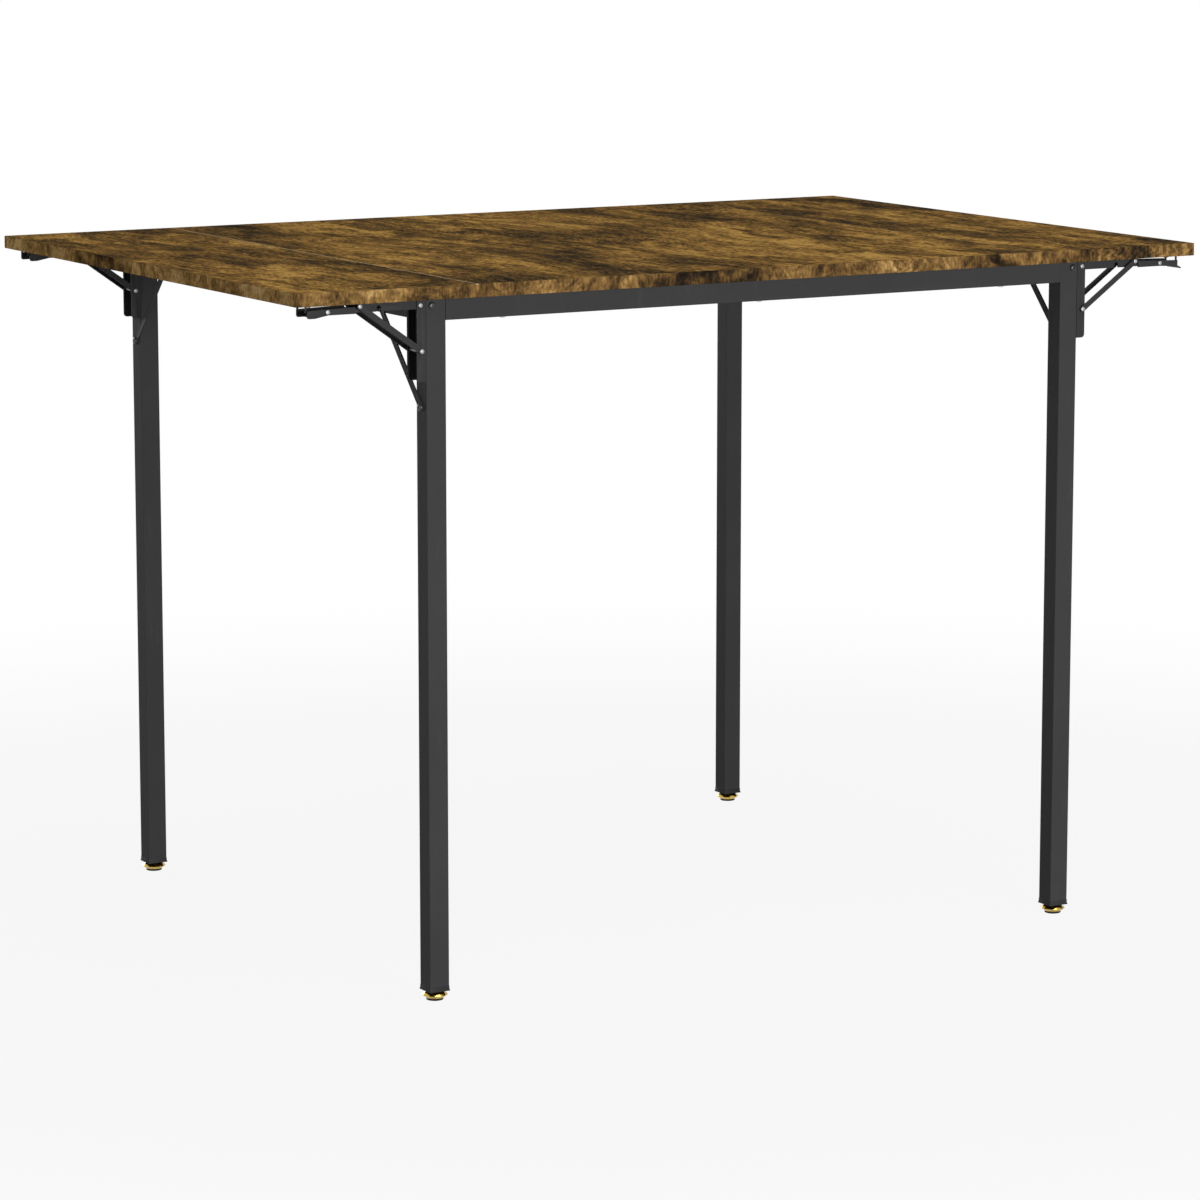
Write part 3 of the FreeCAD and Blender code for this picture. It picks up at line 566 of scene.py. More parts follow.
    def build(self) -> bpy.types.Material:
        """Make the material.

        Returns:
            The finished material.
        """
        bench = Bench("printed_board")
        x, _, z = bench.axes()
        end_on, _, lean = bench.axes(bench.space.outputs["Normal"])
        flat, painted_light_ends = abs(lean).step(*self.facing), abs(end_on).step(*self.facing)
        saw = self._saw_marks(bench)
        # painted light: the end faces that face along X get a lighter tone
        face_tone, edge_tone = self._face_tone(bench), self._edge_tone(bench) + painted_light_ends * self.end_lift
        marked = face_tone - saw * self.saw_dark
        timber = bench.mix(flat, bench.ramp(edge_tone, self.edges), bench.ramp(marked, self.faces))
        # painted highlight: a pale line along each joint between the prints, fainter towards the right
        line = abs(abs(x) - self.groove_place).step(self.groove_half, self.groove_half * self.groove_core)
        highlight_fade = x.step(*self.worn_span) * (1.0 - self.worn_least) + self.worn_least
        line = line * z.step(self.groove_low, self.groove_low + self.groove_ease) * highlight_fade
        tone = face_tone * flat + edge_tone * (1 - flat)
        height = tone * self.grain_relief - saw * flat * self.saw_relief
        return bench.close({
            "Base Color": bench.mix(line, timber, self.groove),
            "Roughness": self.matt - tone * self.sheen,
            "Normal": bench.bump(height, *self.relief),
            "Specular IOR Level": self.specular,
        })


@dataclass(frozen=True)
class PowderCoat:
    """Charcoal powder coat with a fine orange peel and faint handling marks."""

    name: str = "powder_coat"
    colour: Colour = (0.030, 0.030, 0.0305)
    rub: Colour = (0.052, 0.052, 0.0525)
    roughness: float = 0.55
    grain: float = 900.0
    speckle: float = 2.2
    rub_span: Span = (-0.25, 0.6)
    relief: Span = (0.25, 0.00012)
    specular: float = 0.04

    def build(self) -> bpy.types.Material:
        """Make the material."""
        bench = Bench(self.name)
        cloud = bench.noise(bench.where, 9.0)
        speckle = bench.noise(bench.where, self.grain * self.speckle, 1.0)
        peel = bench.noise(bench.where, self.grain, 2.0, 0.5)
        marks = bench.noise(bench.stretched((60.0, 60.0, 9.0)), 1.0, 4.0, 0.65).step(0.58, 0.74)
        shade = (cloud - 0.5) * 0.35 + (speckle - 0.5) * 0.5 + marks * 0.25
        return bench.close({
            "Base Color": bench.mix(shade.step(*self.rub_span), self.colour, self.rub),
            "Roughness": self.roughness + (cloud - 0.5) * 0.12 + marks * 0.07,
            "Normal": bench.bump(peel, *self.relief),
            "Specular IOR Level": self.specular,
        })


@dataclass(frozen=True)
class MouldedPlastic:
    """Black moulded plastic with a fine spark grain."""

    colour: Colour = (0.022, 0.022, 0.0225)
    flow: Colour = (0.031, 0.031, 0.0315)
    flow_span: Span = (0.35, 0.7)
    roughness: float = 0.50
    relief: Span = (0.3, 0.00010)
    specular: float = 0.05

    def build(self) -> bpy.types.Material:
        """Make the material."""
        bench = Bench("moulded_plastic")
        grain = bench.noise(bench.where, 1400.0, 2.0)
        flow = bench.noise(bench.where, 45.0, 2.0)
        return bench.close({
            "Base Color": bench.mix(flow.step(*self.flow_span), self.colour, self.flow),
            "Roughness": self.roughness + (grain - 0.5) * 0.2,
            "Normal": bench.bump(grain, *self.relief),
            "Specular IOR Level": self.specular,
        })


@dataclass(frozen=True)
class TurnedBrass:
    """Bright brass with fine turning lines and a little tarnish."""

    colour: Colour = (0.53, 0.37, 0.08)
    tarnish: Colour = (0.25, 0.165, 0.033)
    tarnish_share: float = 0.55
    roughness: float = 0.17
    line_cells: float = 5200.0
    relief: Span = (0.25, 0.00008)

    def build(self) -> bpy.types.Material:
        """Make the material."""
        bench = Bench("turned_brass")
        _, _, z = bench.axes()
        lines = bench.noise(bench.vector(0.0, 0.0, z * self.line_cells), 1.0, 2.0)
        stain = bench.noise(bench.where, 130.0, 4.0, 0.6).step(0.45, 0.75)
        return bench.close({
            "Base Color": bench.mix(stain * self.tarnish_share, self.colour, self.tarnish),
            "Metallic": 1.0,
            "Roughness": self.roughness + stain * 0.14 + (lines - 0.5) * 0.12,
            "Normal": bench.bump(lines, *self.relief),
        })


@dataclass(frozen=True)
class SoftRubber:
    """Matt black rubber with a dusty bloom."""

    colour: Colour = (0.012, 0.012, 0.012)
    bloom: Colour = (0.026, 0.025, 0.024)
    bloom_span: Span = (0.4, 0.75)
    roughness: float = 0.80
    relief: Span = (0.35, 0.0001)
    specular: float = 0.15

    def build(self) -> bpy.types.Material:
        """Make the material."""
        bench = Bench("soft_rubber")
        bloom = bench.noise(bench.where, 160.0, 4.0, 0.6)
        grain = bench.noise(bench.where, 2200.0, 1.0)
        return bench.close({
            "Base Color": bench.mix(bloom.step(*self.bloom_span), self.colour, self.bloom),
            "Roughness": self.roughness + (bloom - 0.5) * 0.2,
            "Normal": bench.bump(grain, *self.relief),
            "Specular IOR Level": self.specular,
        })


@dataclass(frozen=True)
class PlatedSteel:
    """Bare or plated steel, with fine scratches and a cloudy sheen."""

    name: str = "bright_steel"
    colour: Colour = (0.29, 0.29, 0.29)
    cloudy: Colour = (0.22, 0.22, 0.22)
    metallic: float = 0.60
    roughness: float = 0.50
    cloud_span: Span = (0.35, 0.7)
    relief: Span = (0.15, 0.00006)

    def build(self) -> bpy.types.Material:
        """Make the material."""
        bench = Bench(self.name)
        cloud = bench.noise(bench.where, 260.0)
        scratch = bench.noise(bench.stretched((900.0, 900.0, 160.0)), 1.0, 3.0, 0.7)
        return bench.close({
            "Base Color": bench.mix(cloud.step(*self.cloud_span), self.colour, self.cloudy),
            "Metallic": self.metallic,
            "Roughness": self.roughness + (cloud - 0.5) * 0.2 + (scratch - 0.5) * 0.1,
            "Normal": bench.bump(scratch, *self.relief),
        })


@dataclass
class Palette:
    """Every finish of the table, by its slot in the record."""

    materials: dict[Slot, bpy.types.Material] = field(default_factory=dict)

    def build(self) -> "Palette":
        """Make all the materials once."""
        recipes = {
            Slot.BOARD: PrintedBoard(),
            Slot.FRAME: PowderCoat(),
            Slot.BRACKET: PowderCoat("bracket_coat", (0.026, 0.026, 0.0265), (0.046, 0.046, 0.0465),
                                     roughness=0.50, grain=1100.0),
            Slot.CAP: MouldedPlastic(),
            Slot.FOOT: TurnedBrass(),
            Slot.RUBBER: SoftRubber(),
            Slot.BLACK_BOLT: PlatedSteel("black_oxide", (0.030, 0.030, 0.031), (0.018, 0.018, 0.019),
                                         metallic=0.35, roughness=0.36),
            Slot.RIVET: PlatedSteel(),
            Slot.ZINC: PlatedSteel("zinc_plate", (0.62, 0.63, 0.62), (0.50, 0.50, 0.46),
                                   metallic=0.95, roughness=0.34),
        }
        self.materials = {slot: recipe.build() for slot, recipe in recipes.items()}
        return self

    def dress(self, frame: dict[str, Any]) -> None:
        """Give every solid its slot's material.
        """
        for row in frame["record"]["subparts"]:
            data = frame["nodes"][row["node"]].data
            data.materials.clear()
            data.materials.append(self.materials[Slot(row["material_slot"])])


# Shapes

@dataclass(frozen=True)
class Turned:
    """A turned shape: an outline of radius and height in millimetres, spun about Z."""

    outline: Outline
    steps: int
    socket: Socket | None = None
    socket_rings: tuple[int, ...] = ()

    def shape(self) -> bmesh.types.BMesh:
        """Spin the outline.

        Returns:
            A closed mesh about the origin.
        """
        made = bmesh.new()
        marks = made.verts.layers.int.new("ring")
        spots = [made.verts.new((radius * MM, 0.0, height * MM)) for radius, height in self.outline]
        lines = [made.edges.new(pair) for pair in zip(spots, spots[1:])]
        for number, spot in enumerate(spots):
            spot[marks] = number + 1
        bmesh.ops.spin(made, geom=spots + lines, cent=(0, 0, 0), axis=(0, 0, 1), angle=math.tau,
                       steps=self.steps, use_merge=True)
        for spot in made.verts:
            if self.socket and spot[marks] - 1 in self.socket_rings:
                self._press(spot)
        bmesh.ops.remove_doubles(made, verts=made.verts, dist=WELD)
        bmesh.ops.dissolve_degenerate(made, dist=SLIVER, edges=made.edges)
        made.verts.layers.int.remove(made.verts.layers.int["ring"])
        bmesh.ops.recalc_face_normals(made, faces=made.faces)
        return made

    def _press(self, spot: bmesh.types.BMVert) -> None:
        """Move one point of the socket's rim onto the drive's outline."""
        angle = math.atan2(spot.co.y, spot.co.x)
        if self.socket is Socket.HEXAGON:
            sixth = math.tau / 6
            factor = math.cos(sixth / 2) / math.cos(angle % sixth - sixth / 2)
        else:
            arm = abs(math.cos(2 * angle)) ** CROSS_POWER
            factor = CROSS_WAIST + (1.0 - CROSS_WAIST) * arm
        spot.co.x *= factor
        spot.co.y *= factor


def dome(rim: float, foot: float, top: float, flat: float, rings: int = 5) -> Outline:
    """Outline of a domed head.

    Args:
        rim: radius at the dome's foot.
        foot: height there.
        top: height of the crown.
        flat: radius at which the outline stops.
        rings: how many points.

    Returns:
        Points of radius and height, from the rim up.
    """
    reach = math.acos(min(1.0, flat / rim))
    points = []
    for number in range(rings + 1):
        angle = reach * number / rings
        share = math.sin(angle) / math.sin(reach)
        points.append((rim * math.cos(angle), foot + (top - foot) * share))
    return tuple(points)


def stand(place: Vector, axis: Vector) -> Matrix:
    """A matrix that puts a shape's foot at a place and its Z along an axis."""
    return Matrix.Translation(place) @ axis.to_track_quat("Z", "Y").to_matrix().to_4x4()


class Blank:
    """A piece in the making, gathered from several shapes."""

    def __init__(self, name: str) -> None:
        """Start an empty piece.

        Args:
            name: the piece's name.
        """
        self.name = name
        self.mesh = bmesh.new()

    def add(self, shape: bmesh.types.BMesh, place: Matrix) -> "Blank":
        """Put one more shape in.

        Args:
            shape: the shape, used up here.
            place: where it goes.

        Returns:
            The same blank.
        """
        shape.transform(place)
        spare = bpy.data.meshes.new("spare")
        shape.to_mesh(spare)
        shape.free()
        self.mesh.from_mesh(spare)
        bpy.data.meshes.remove(spare)
        return self

    def publish(self, body: str, slot: Slot, palette: Palette, *nodes: str,
                smooth: float = 32.0) -> bpy.types.Object:
        """Finish the piece.

        Args:
            body: the moving body it rides on.
            slot: its finish.
            palette: where the materials are.
            nodes: solids that it stands for.
            smooth: the steepest edge in degrees that is still shaded smooth.

        Returns:
            The piece.
        """
        data = bpy.data.meshes.new(self.name)
        self.mesh.to_mesh(data)
        self.mesh.free()
        data.polygons.foreach_set("use_smooth", [True] * len(data.polygons))
        data.set_sharp_from_angle(angle=math.radians(smooth))
        data.materials.append(palette.materials[slot])
        piece = bpy.data.objects.new(self.name, data)
        bpy.context.scene.collection.objects.link(piece)
        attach(piece, body)
        if nodes:
            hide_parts(*nodes)
        LOG.info("%s: %d faces on %s", self.name, len(data.polygons), body)
        return piece


# Sub-assemblies

@dataclass(frozen=True)
class Layout:
    """Where the table's parts stand, in millimetres."""

    half_length: float = 411.0
    half_depth: float = 367.5
    tube: float = 23.0
    board_bottom: float = 746.0
    pivot_out: float = 6.4
    pivot_drop: float = 6.0
    strut_drop: float = 47.7
    knee: tuple[float, float] = (71.3, 2.6)
    latch: tuple[float, float] = (107.0, -1.5)

    def leg(self, depth: Depth, side: Side, height: float) -> Vector:
        """A point on a leg's middle line.

        Args:
            depth: front or back.
            side: left or right.
            height: above the floor.

        Returns:
            The point in metres.
        """
        x = side.value * (self.half_length - self.tube / 2)
        y = depth.value * (self.half_depth - self.tube / 2)
        return Vector((x, y, height)) * MM

    def bracket(self, depth: Depth, side: Side, out: float, aside: float, rise: float) -> Vector:
        """A point in a bracket's own frame, from its upper pivot.

        Args:
            depth: front or back.
            side: left or right.
            out: outboard of the pivot.
            aside: along Y from the bracket's middle.
            rise: above the pivot.

        Returns:
            The point in metres.
        """
        x = side.value * (self.half_length + self.pivot_out + out)
        y = depth.value * (self.half_depth - self.tube / 2) + aside
        return Vector((x, y, self.board_bottom - self.pivot_drop + rise)) * MM


@dataclass
class Feet:
    """Levelling feet: turned cones on a threaded stud, with a soft pad under each."""

    layout: Layout
    cones: Outline = ((0.0, 1.8), (8.95, 1.8), (9.25, 2.1), (13.45, 5.35), (13.7, 5.6), (13.7, 5.8),
                      (13.35, 6.1), (8.7, 10.05), (8.3, 10.3))
    pad: Outline = ((0.0, 0.0), (8.65, 0.0), (9.05, 0.2), (9.15, 0.6), (9.15, 1.7), (9.05, 1.8), (0.0, 1.8))
    stud: float = 4.0
    stud_from: float = 10.3
    stud_top: float = 37.3
    stud_ease: float = 0.6
    thread_from: float = 10.5
    thread_pitch: float = 1.25
    thread_deep: float = 0.55
    steps: int = 40

    def disc(self) -> Turned:
        """The two cones and the stud's thread as one outline."""
        points = [*self.cones, (self.stud, self.stud_from)]
        height = self.thread_from
        while height + self.thread_pitch < self.stud_top - self.stud_ease:
            points += [(self.stud, height), (self.stud - self.thread_deep, height + self.thread_pitch / 2)]
            height += self.thread_pitch
        points += [(self.stud, height), (self.stud - self.stud_ease, self.stud_top), (0.0, self.stud_top)]
        return Turned(tuple(points), self.steps)

    def build(self, palette: Palette) -> None:
        """Make the four feet.

        Args:
            palette: the finishes.
        """
        for depth, side in CORNERS:
            word = f"{depth.word}_{side.word}"
            place = Matrix.Translation(self.layout.leg(depth, side, 0.0))
            Blank(f"turned_foot_{word}").add(self.disc().shape(), place).publish(
                f"foot_{word}", Slot.FOOT, palette, f"levelling_foot_{word}")
            Blank(f"foot_sole_{word}").add(Turned(self.pad, self.steps).shape(), place).publish(
                f"foot_{word}", Slot.RUBBER, palette, f"foot_pad_{word}")


@dataclass
class Pins:
    """Bright domed rivets and pins of the folding brackets."""

    layout: Layout
    radius: float = 1.6
    head: float = 2.45
    head_tall: float = 0.95
    rim_share: float = 0.3
    channel_half: float = 11.5
    channel_slack: float = 0.05
    strut_face: float = 13.1
    strut_outer: float = 14.3
    latch_half: float = 12.3
    latch_tall: float = 0.6
    latch_radius: float = 1.2
    steps: int = 28

    def crown(self, foot: float, tall: float) -> list[Span]:
        """Outline of one domed head, rim upwards to its pole."""
        rim = foot + tall * self.rim_share
        return [(self.head, foot), (self.head, rim), *dome(self.head, rim, foot + tall, 0.0)]

    def both_heads(self, shank: float, half: float, tall: float) -> Turned:
        """A pin with a like head at each end, centred on the origin."""
        upper = self.crown(half, tall)
        lower = [(radius, -height) for radius, height in reversed(upper)]
        return Turned((*lower, (shank, -half), (shank, half), *upper), self.steps)

    def knee(self) -> Turned:
        """One knee rivet in its side bar, the head outward."""
        shank = ((0.0, self.strut_face), (self.radius, self.strut_face), (self.radius, self.strut_outer))
        return Turned((*shank, *self.crown(self.strut_outer, self.head_tall)), self.steps)

    def collar(self) -> Turned:
        """The spacer between channel and side bar."""
        low, high = self.channel_half + self.channel_slack, self.strut_face
        return Turned(((self.radius, low), (self.head, low), (self.head, high), (self.radius, high),
                       (self.radius, low)), self.steps)

    def build(self, palette: Palette) -> None:
        """Make every pin and rivet.

        Args:
            palette: the finishes.
        """
        upper = Blank("upper_rivets")
        along = Vector((0.0, 1.0, 0.0))
        for depth, side in CORNERS:
            word = f"{depth.word}_{side.word}"
            pin = self.both_heads(self.radius, self.channel_half, self.head_tall)
            upper.add(pin.shape(), stand(self.layout.bracket(depth, side, 0.0, 0.0, 0.0), along))
            low = self.layout.bracket(depth, side, 0.0, 0.0, -self.layout.strut_drop)
            knee = self.layout.bracket(depth, side, self.layout.knee[0], 0.0, self.layout.knee[1])
            strut = Blank(f"strut_rivets_{word}")
            pin = self.both_heads(self.radius, self.strut_outer, self.head_tall)
            strut.add(pin.shape(), stand(low, along))
            for way in (along, -along):
                strut.add(self.collar().shape(), stand(low, way))
                strut.add(self.knee().shape(), stand(knee, way))
            strut.publish(f"strut_{word}", Slot.RIVET, palette, f"strut_pins_{word}")
        upper.publish("frame", Slot.RIVET, palette, "arm_pins")
        for side in Side:
            latch = Blank(f"latch_rivets_{side.word}")
            for depth in Depth:
                spot = self.layout.bracket(depth, side, self.layout.latch[0], 0.0, self.layout.latch[1])
                pin = self.both_heads(self.latch_radius, self.latch_half, self.latch_tall)
                latch.add(pin.shape(), stand(spot, along))
            latch.publish(f"{side.word}_leaf", Slot.RIVET, palette, f"{side.word}_lever_pins")


@dataclass
class Bolts:
    """Black button head bolts with a hexagon socket."""

    layout: Layout
    radius: float = 2.5
    point_ease: float = 0.4
    head: float = 4.0
    head_ease: float = 0.1
    edge: float = 0.8
    crown: float = 2.6
    rim: float = 2.1
    socket: float = 1.5
    socket_ease: float = 0.15
    socket_wall: float = 1.3
    socket_deep: float = 1.5
    corner_in: float = 6.5
    corner_drop: float = 7.0
    corner_long: float = 31.0
    brace_drop: float = 113.5
    brace_run: float = 95.0
    brace_thick: float = 1.5
    brace_long: float = 9.0
    steps: int = 36

    def bolt(self, long: float) -> Turned:
        """A bolt, its seat at the origin and its head upwards.

        Args:
            long: length of the shank.

        Returns:
            The turned shape.
        """
        outline = [(0.0, -long), (self.radius - self.point_ease, -long),
                   (self.radius, self.point_ease - long), (self.radius, 0.0),
                   (self.head - self.head_ease, 0.0), (self.head, self.head_ease)]
        outline += list(dome(self.head, self.edge, self.crown, self.rim))
        first = len(outline)
        outline += [(self.socket + self.socket_ease, self.crown),
                    (self.socket, self.crown - self.socket_ease),
                    (self.socket, self.crown - self.socket_wall), (0.0, self.crown - self.socket_deep)]
        return Turned(tuple(outline), self.steps, Socket.HEXAGON, tuple(range(first, first + 3)))

    def build(self, palette: Palette) -> None:
        """Make the corner bolts and the brace bolts.

        Args:
            palette: the finishes.
        """
        corner, brace = Blank("corner_bolt_heads"), Blank("brace_bolt_heads")
        place = self.layout
        for depth, side in CORNERS:
            x = side.value * (place.half_length - self.corner_in)
            spot = Vector((x, depth.value * place.half_depth, place.board_bottom - self.corner_drop)) * MM
            corner.add(self.bolt(self.corner_long).shape(), stand(spot, Vector((0, depth.value, 0))))
            x = side.value * (place.half_length + self.brace_thick)
            leg_y = depth.value * (place.half_depth - place.tube / 2)
            for y, z in ((leg_y, place.board_bottom - self.brace_drop),
                         (leg_y - depth.value * self.brace_run, place.board_bottom - place.tube / 2)):
                spot = Vector((x, y, z)) * MM
                brace.add(self.bolt(self.brace_long).shape(), stand(spot, Vector((side.value, 0, 0))))
        corner.publish("frame", Slot.BLACK_BOLT, palette, "corner_bolts")
        brace.publish("frame", Slot.BLACK_BOLT, palette, "brace_bolts")


@dataclass
class Screws:
    """Cross slotted screws of the leaves, the rails and the brackets."""

    layout: Layout
    shank: float = 1.75
    point_share: float = 0.9
    point_long: float = 0.8
    thread_from: float = 1.0
    thread_to: float = 0.4
    thread_pitch: float = 1.4
    thread_deep: float = 0.45
    head: float = 3.5
    head_tall: float = 2.0
    rail_head: float = 4.0
    rail_head_tall: float = 2.2
    rim_share: float = 0.12
    crown_flat: float = 1.75
    crown_rings: int = 4
    recess: Outline = ((1.70, 0.0), (1.5, 0.25), (0.9, 1.1), (0.0, 1.3))
    bite: float = 9.0
    sheet: float = 1.2
    arm_places: tuple[float, ...] = (25.0, 60.0, 124.0)
    rail_places: tuple[float, ...] = (-315.0, 0.0, 315.0)
    channel_drops: tuple[float, ...] = (25.0, 65.0)
    channel_long: float = 8.0
    steps: int = 32

    def screw(self, head: float, tall: float, long: float) -> Turned:
        """A screw, its seat at the origin, its head upwards and its point below.

        Args:
            head: radius of the head.
            tall: height of the head.
            long: length of the shank.

        Returns:
            The turned shape.
        """
        outline = [(0.0, -long), (self.shank * self.point_share, self.point_long - long)]
        height = self.thread_from - long
        while height + self.thread_pitch < -self.thread_to:
            outline += [(self.shank - self.thread_deep, height), (self.shank, height + self.thread_pitch / 2)]
            height += self.thread_pitch
        rim = tall * self.rim_share
        outline += [(self.shank, 0.0), (head, 0.0), (head, rim)]
        outline += list(dome(head, rim, tall, self.crown_flat, self.crown_rings))
        first = len(outline)
        outline += [(radius, tall - deep) for radius, deep in self.recess]
        return Turned(tuple(outline), self.steps, Socket.CROSS, tuple(range(first, len(outline) - 1)))

    def build(self, palette: Palette) -> None:
        """Make all the screws.

        Args:
            palette: the finishes.
        """
        down = Vector((0.0, 0.0, -1.0))
        place = self.layout
        for side in Side:
            leaf = Blank(f"leaf_screw_heads_{side.word}")
            for depth in Depth:
                for out in self.arm_places:
                    spot = place.bracket(depth, side, out, 0.0, place.pivot_drop - self.sheet)
                    screw = self.screw(self.head, self.head_tall, self.sheet + self.bite)
                    leaf.add(screw.shape(), stand(spot, down))
            leaf.publish(f"{side.word}_leaf", Slot.ZINC, palette, f"{side.word}_leaf_screws")
        rail, channel = Blank("rail_screw_heads"), Blank("bracket_screw_heads")
        for depth in Depth:
            for x in self.rail_places:
                y = depth.value * (place.half_depth - place.tube / 2)
                spot = Vector((x, y, place.board_bottom - place.tube)) * MM
                screw = self.screw(self.rail_head, self.rail_head_tall, place.tube + self.bite)
                rail.add(screw.shape(), stand(spot, down))
            for side in Side:
                for drop in self.channel_drops:
                    spot = place.bracket(depth, side, self.sheet - place.pivot_out, 0.0, -drop)
                    screw = self.screw(self.head, self.head_tall, self.channel_long)
                    channel.add(screw.shape(), stand(spot, Vector((side.value, 0, 0))))
        rail.publish("frame", Slot.ZINC, palette, "rail_screws")
        channel.publish("frame", Slot.ZINC, palette, "bracket_screws")


@dataclass
class Plates:
    """Pressed plates and moulded caps, taken from their solids with eased edges."""

    weld: float = 1e-6
    level: float = 0.5
    sharp: float = 30.0
    smooth: float = 28.0
    ease: dict[str, float] = field(default_factory=lambda: {
        "bracket_channel": 0.16, "bracket_arm": 0.14, "bracket_strut": 0.16, "release_lever": 0.16,
        "brace": 0.18, "leg_cap": 0.15})

    def eased(self, node: bpy.types.Object, width: float) -> bmesh.types.BMesh:
        """A solid's mesh with its sharp edges rounded.

        Args:
            node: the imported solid.
            width: how far each edge is cut back, in millimetres.

        Returns:
            The rounded mesh.
        """
        made = bmesh.new()
        made.from_mesh(node.data)
        bmesh.ops.remove_doubles(made, verts=made.verts, dist=self.weld)
        bmesh.ops.dissolve_limit(made, angle_limit=math.radians(self.level), verts=made.verts,
                                 edges=made.edges)
        edges = [edge for edge in made.edges
                 if len(edge.link_faces) == 2 and edge.calc_face_angle(0.0) > math.radians(self.sharp)]
        bmesh.ops.bevel(made, geom=edges, offset=width * MM, offset_type="OFFSET", affect="EDGES", segments=2,
                        profile=0.5, material=-1, clamp_overlap=True)
        bmesh.ops.triangulate(made, faces=[face for face in made.faces if len(face.verts) > 4])
        return made

    def build(self, frame: dict[str, Any], palette: Palette) -> None:
        """Make an eased piece for each plate and cap.

        Args:
            palette: the finishes.
        """
        record = frame["record"]
        slots = {row["node"]: Slot(row["material_slot"]) for row in record["subparts"]}
        bodies = {node: body for body, nodes in record["behaviour"]["bodies"].items() for node in nodes}
        for kind, width in self.ease.items():
            for depth, side in CORNERS:
                node = f"{kind}_{depth.word}_{side.word}"
                blank = Blank(f"eased_{node}")
                blank.add(self.eased(frame["nodes"][node], width), Matrix.Identity(4))
                blank.publish(bodies[node], slots[node], palette, node, smooth=self.smooth)


@dataclass(frozen=True)
class Lamp:
    """A soft square lamp: its place in metres, its power in watts and its panel's side."""

    name: str
    place: Triple
    power: float
    size: float

    def hang(self, aim: Vector) -> None:
        """Hang the lamp so that it faces a point."""
        data = bpy.data.lights.new(self.name, "AREA")
        data.energy = self.power
        data.size = self.size
        lamp = bpy.data.objects.new(self.name, data)
        lamp.location = self.place
        lamp.rotation_euler = (aim - Vector(self.place)).to_track_quat("-Z", "Y").to_euler()
        bpy.context.scene.collection.objects.link(lamp)


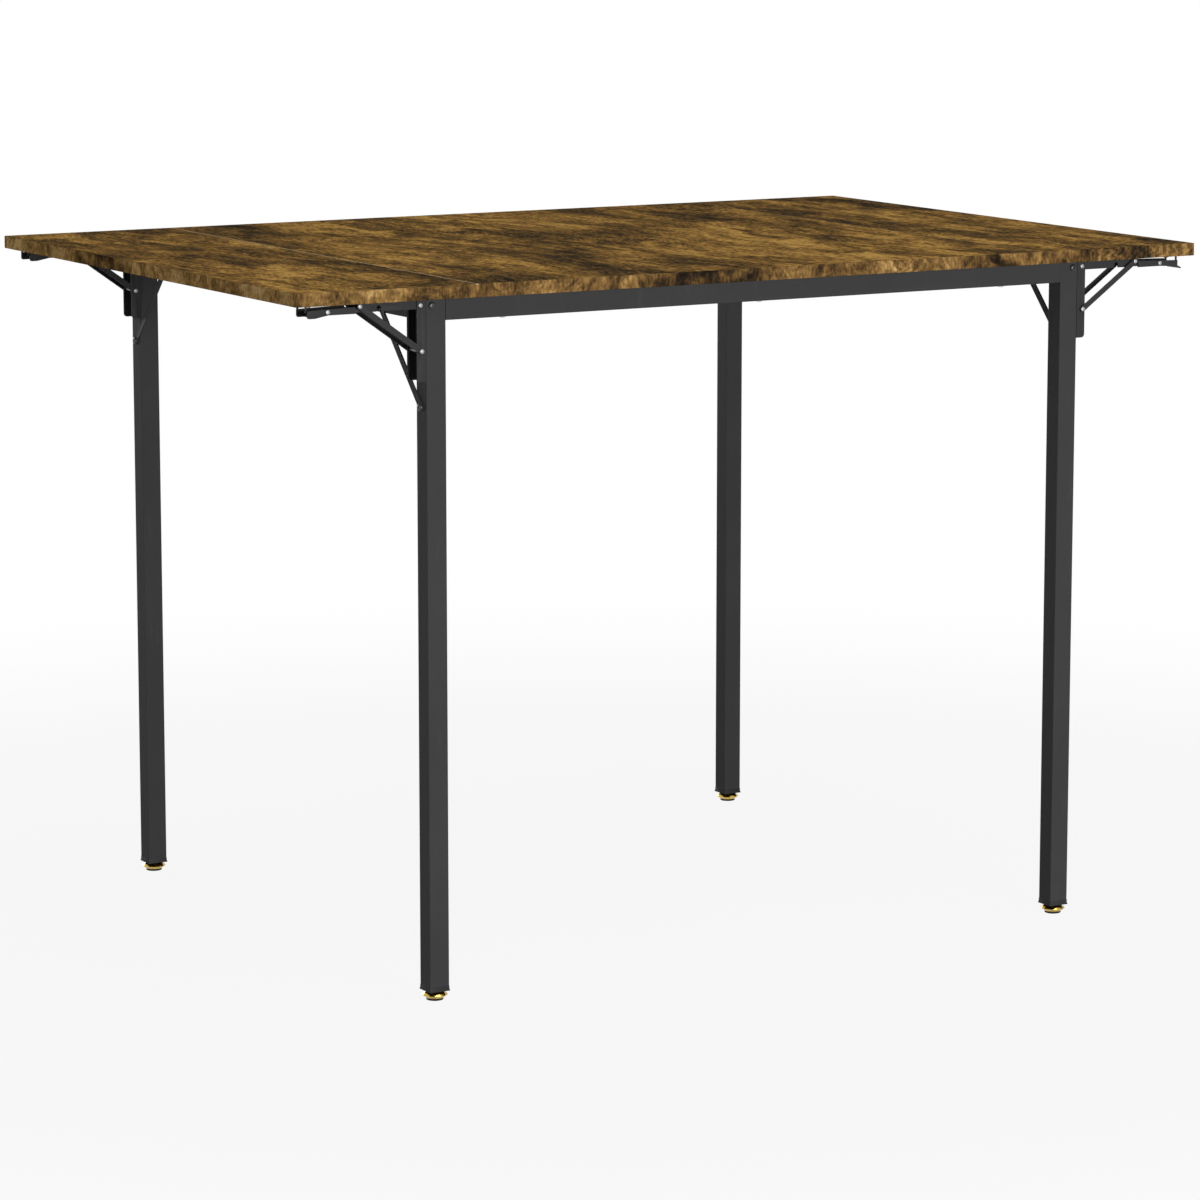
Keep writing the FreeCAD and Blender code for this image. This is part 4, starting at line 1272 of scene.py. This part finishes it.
@dataclass
class Studio:
    """Pale floor, soft lamps and the camera."""

    camera_place: Triple = (-2.67577, -4.66184, 1.25055)
    camera_turn: float = 0.52225
    camera_pitch: float = 0.16722
    lens: float = 141.695
    sensor: float = 36.0
    clip_end: float = 200.0
    aim: Triple = (0.0, 0.0, 0.45)
    lamps: tuple[Lamp, ...] = (
        Lamp("key", (0.4, -1.2, 4.8), 121.0, 2.6),
        Lamp("front", (-0.2, -9.5, 0.6), 1330.0, 2.6),
        Lamp("fill", (-4.6, 0.4, 0.5), 70.0, 2.0),
        Lamp("rear", (0.0, 4.6, 0.9), 110.0, 2.6),
    )
    world_glow: float = 0.11
    floor_half: float = 60.0
    floor_tones: tuple[Colour, Colour] = ((0.25, 0.25, 0.25), (0.27, 0.27, 0.27))
    floor_glow: float = 0.91
    floor_near: float = 0.9
    floor_far: float = 2.2

    def floor(self) -> None:
        """A wide white floor that keeps the object's shadow."""
        bench = Bench("studio_floor")
        grain = bench.noise(bench.where, 14.0, 2.0)
        tone = bench.mix(grain.step(0.3, 0.7), *self.floor_tones)
        matt = bench.node("ShaderNodeBsdfDiffuse", {}, {"Color": tone})
        glow = bench.node("ShaderNodeEmission", {}, {"Color": rgba(WHITE), "Strength": 1.0})
        x, y, _ = bench.axes()
        away = ((x * x + y * y) ** 0.5).step(self.floor_near, self.floor_far)
        share = self.seen(bench) * (self.floor_glow + away * (1.0 - self.floor_glow))
        mixed = bench.node("ShaderNodeMixShader", {}, {0: share, 1: matt.outputs[0], 2: glow.outputs[0]})
        bench.node("ShaderNodeOutputMaterial", {}, {"Surface": mixed.outputs[0]})
        made = bmesh.new()
        bmesh.ops.create_grid(made, x_segments=1, y_segments=1, size=self.floor_half)
        data = bpy.data.meshes.new("studio_floor")
        made.to_mesh(data)
        made.free()
        data.materials.append(bench.material)
        plane = bpy.data.objects.new("studio_floor", data)
        bpy.context.scene.collection.objects.link(plane)

    @staticmethod
    def seen(bench: Bench) -> Wire:
        """1 for rays from the camera and those that mirrors and glass send on."""
        path = bench.node("ShaderNodeLightPath", {}, {})
        camera, glossy, through = (Wire(bench, path.outputs[f"Is {word} Ray"]) for word in RAYS)
        return (camera + glossy + through).step(0.0, 1.0)

    def world(self) -> None:
        """A world that is white to the eye and lights softly from all round."""
        world = bpy.data.worlds.new("studio_world")
        world.use_nodes = True
        bpy.context.scene.world = world
        nodes, links = world.node_tree.nodes, world.node_tree.links
        path = nodes.new("ShaderNodeLightPath")
        shown, *others = (path.outputs[f"Is {word} Ray"] for word in RAYS)
        for ray in others:
            either = nodes.new("ShaderNodeMath")
            either.operation = "MAXIMUM"
            links.new(shown, either.inputs[0])
            links.new(ray, either.inputs[1])
            shown = either.outputs[0]
        soft, bright = nodes["Background"], nodes.new("ShaderNodeBackground")
        for light, strength in ((soft, self.world_glow), (bright, 1.0)):
            light.inputs["Color"].default_value = rgba(WHITE)
            light.inputs["Strength"].default_value = strength
        mixed = nodes.new("ShaderNodeMixShader")
        links.new(shown, mixed.inputs[0])
        links.new(soft.outputs[0], mixed.inputs[1])
        links.new(bright.outputs[0], mixed.inputs[2])
        links.new(mixed.outputs[0], nodes["World Output"].inputs["Surface"])

    def camera(self) -> None:
        """The camera at the photograph's angle."""
        data = bpy.data.cameras.new("camera")
        data.lens = self.lens
        data.sensor_width = self.sensor
        data.clip_end = self.clip_end
        camera = bpy.data.objects.new("camera", data)
        camera.location = self.camera_place
        camera.rotation_euler = (math.pi / 2 - self.camera_pitch, 0.0, -self.camera_turn)
        bpy.context.scene.collection.objects.link(camera)
        bpy.context.scene.camera = camera

    def build(self) -> None:
        """Set up the whole studio."""
        self.floor()
        self.world()
        for lamp in self.lamps:
            lamp.hang(Vector(self.aim))
        self.camera()
        bpy.context.scene.view_settings.view_transform = "Standard"


def main() -> None:
    """Dress the table and set up its studio."""
    logging.basicConfig(level=logging.INFO, format="%(name)s %(message)s")
    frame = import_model()
    layout = Layout()
    palette = Palette().build()
    palette.dress(frame)
    Plates().build(frame, palette)
    Feet(layout).build(palette)
    Pins(layout).build(palette)
    Bolts(layout).build(palette)
    Screws(layout).build(palette)
    Studio().build()


if __name__ == "__main__":
    main()
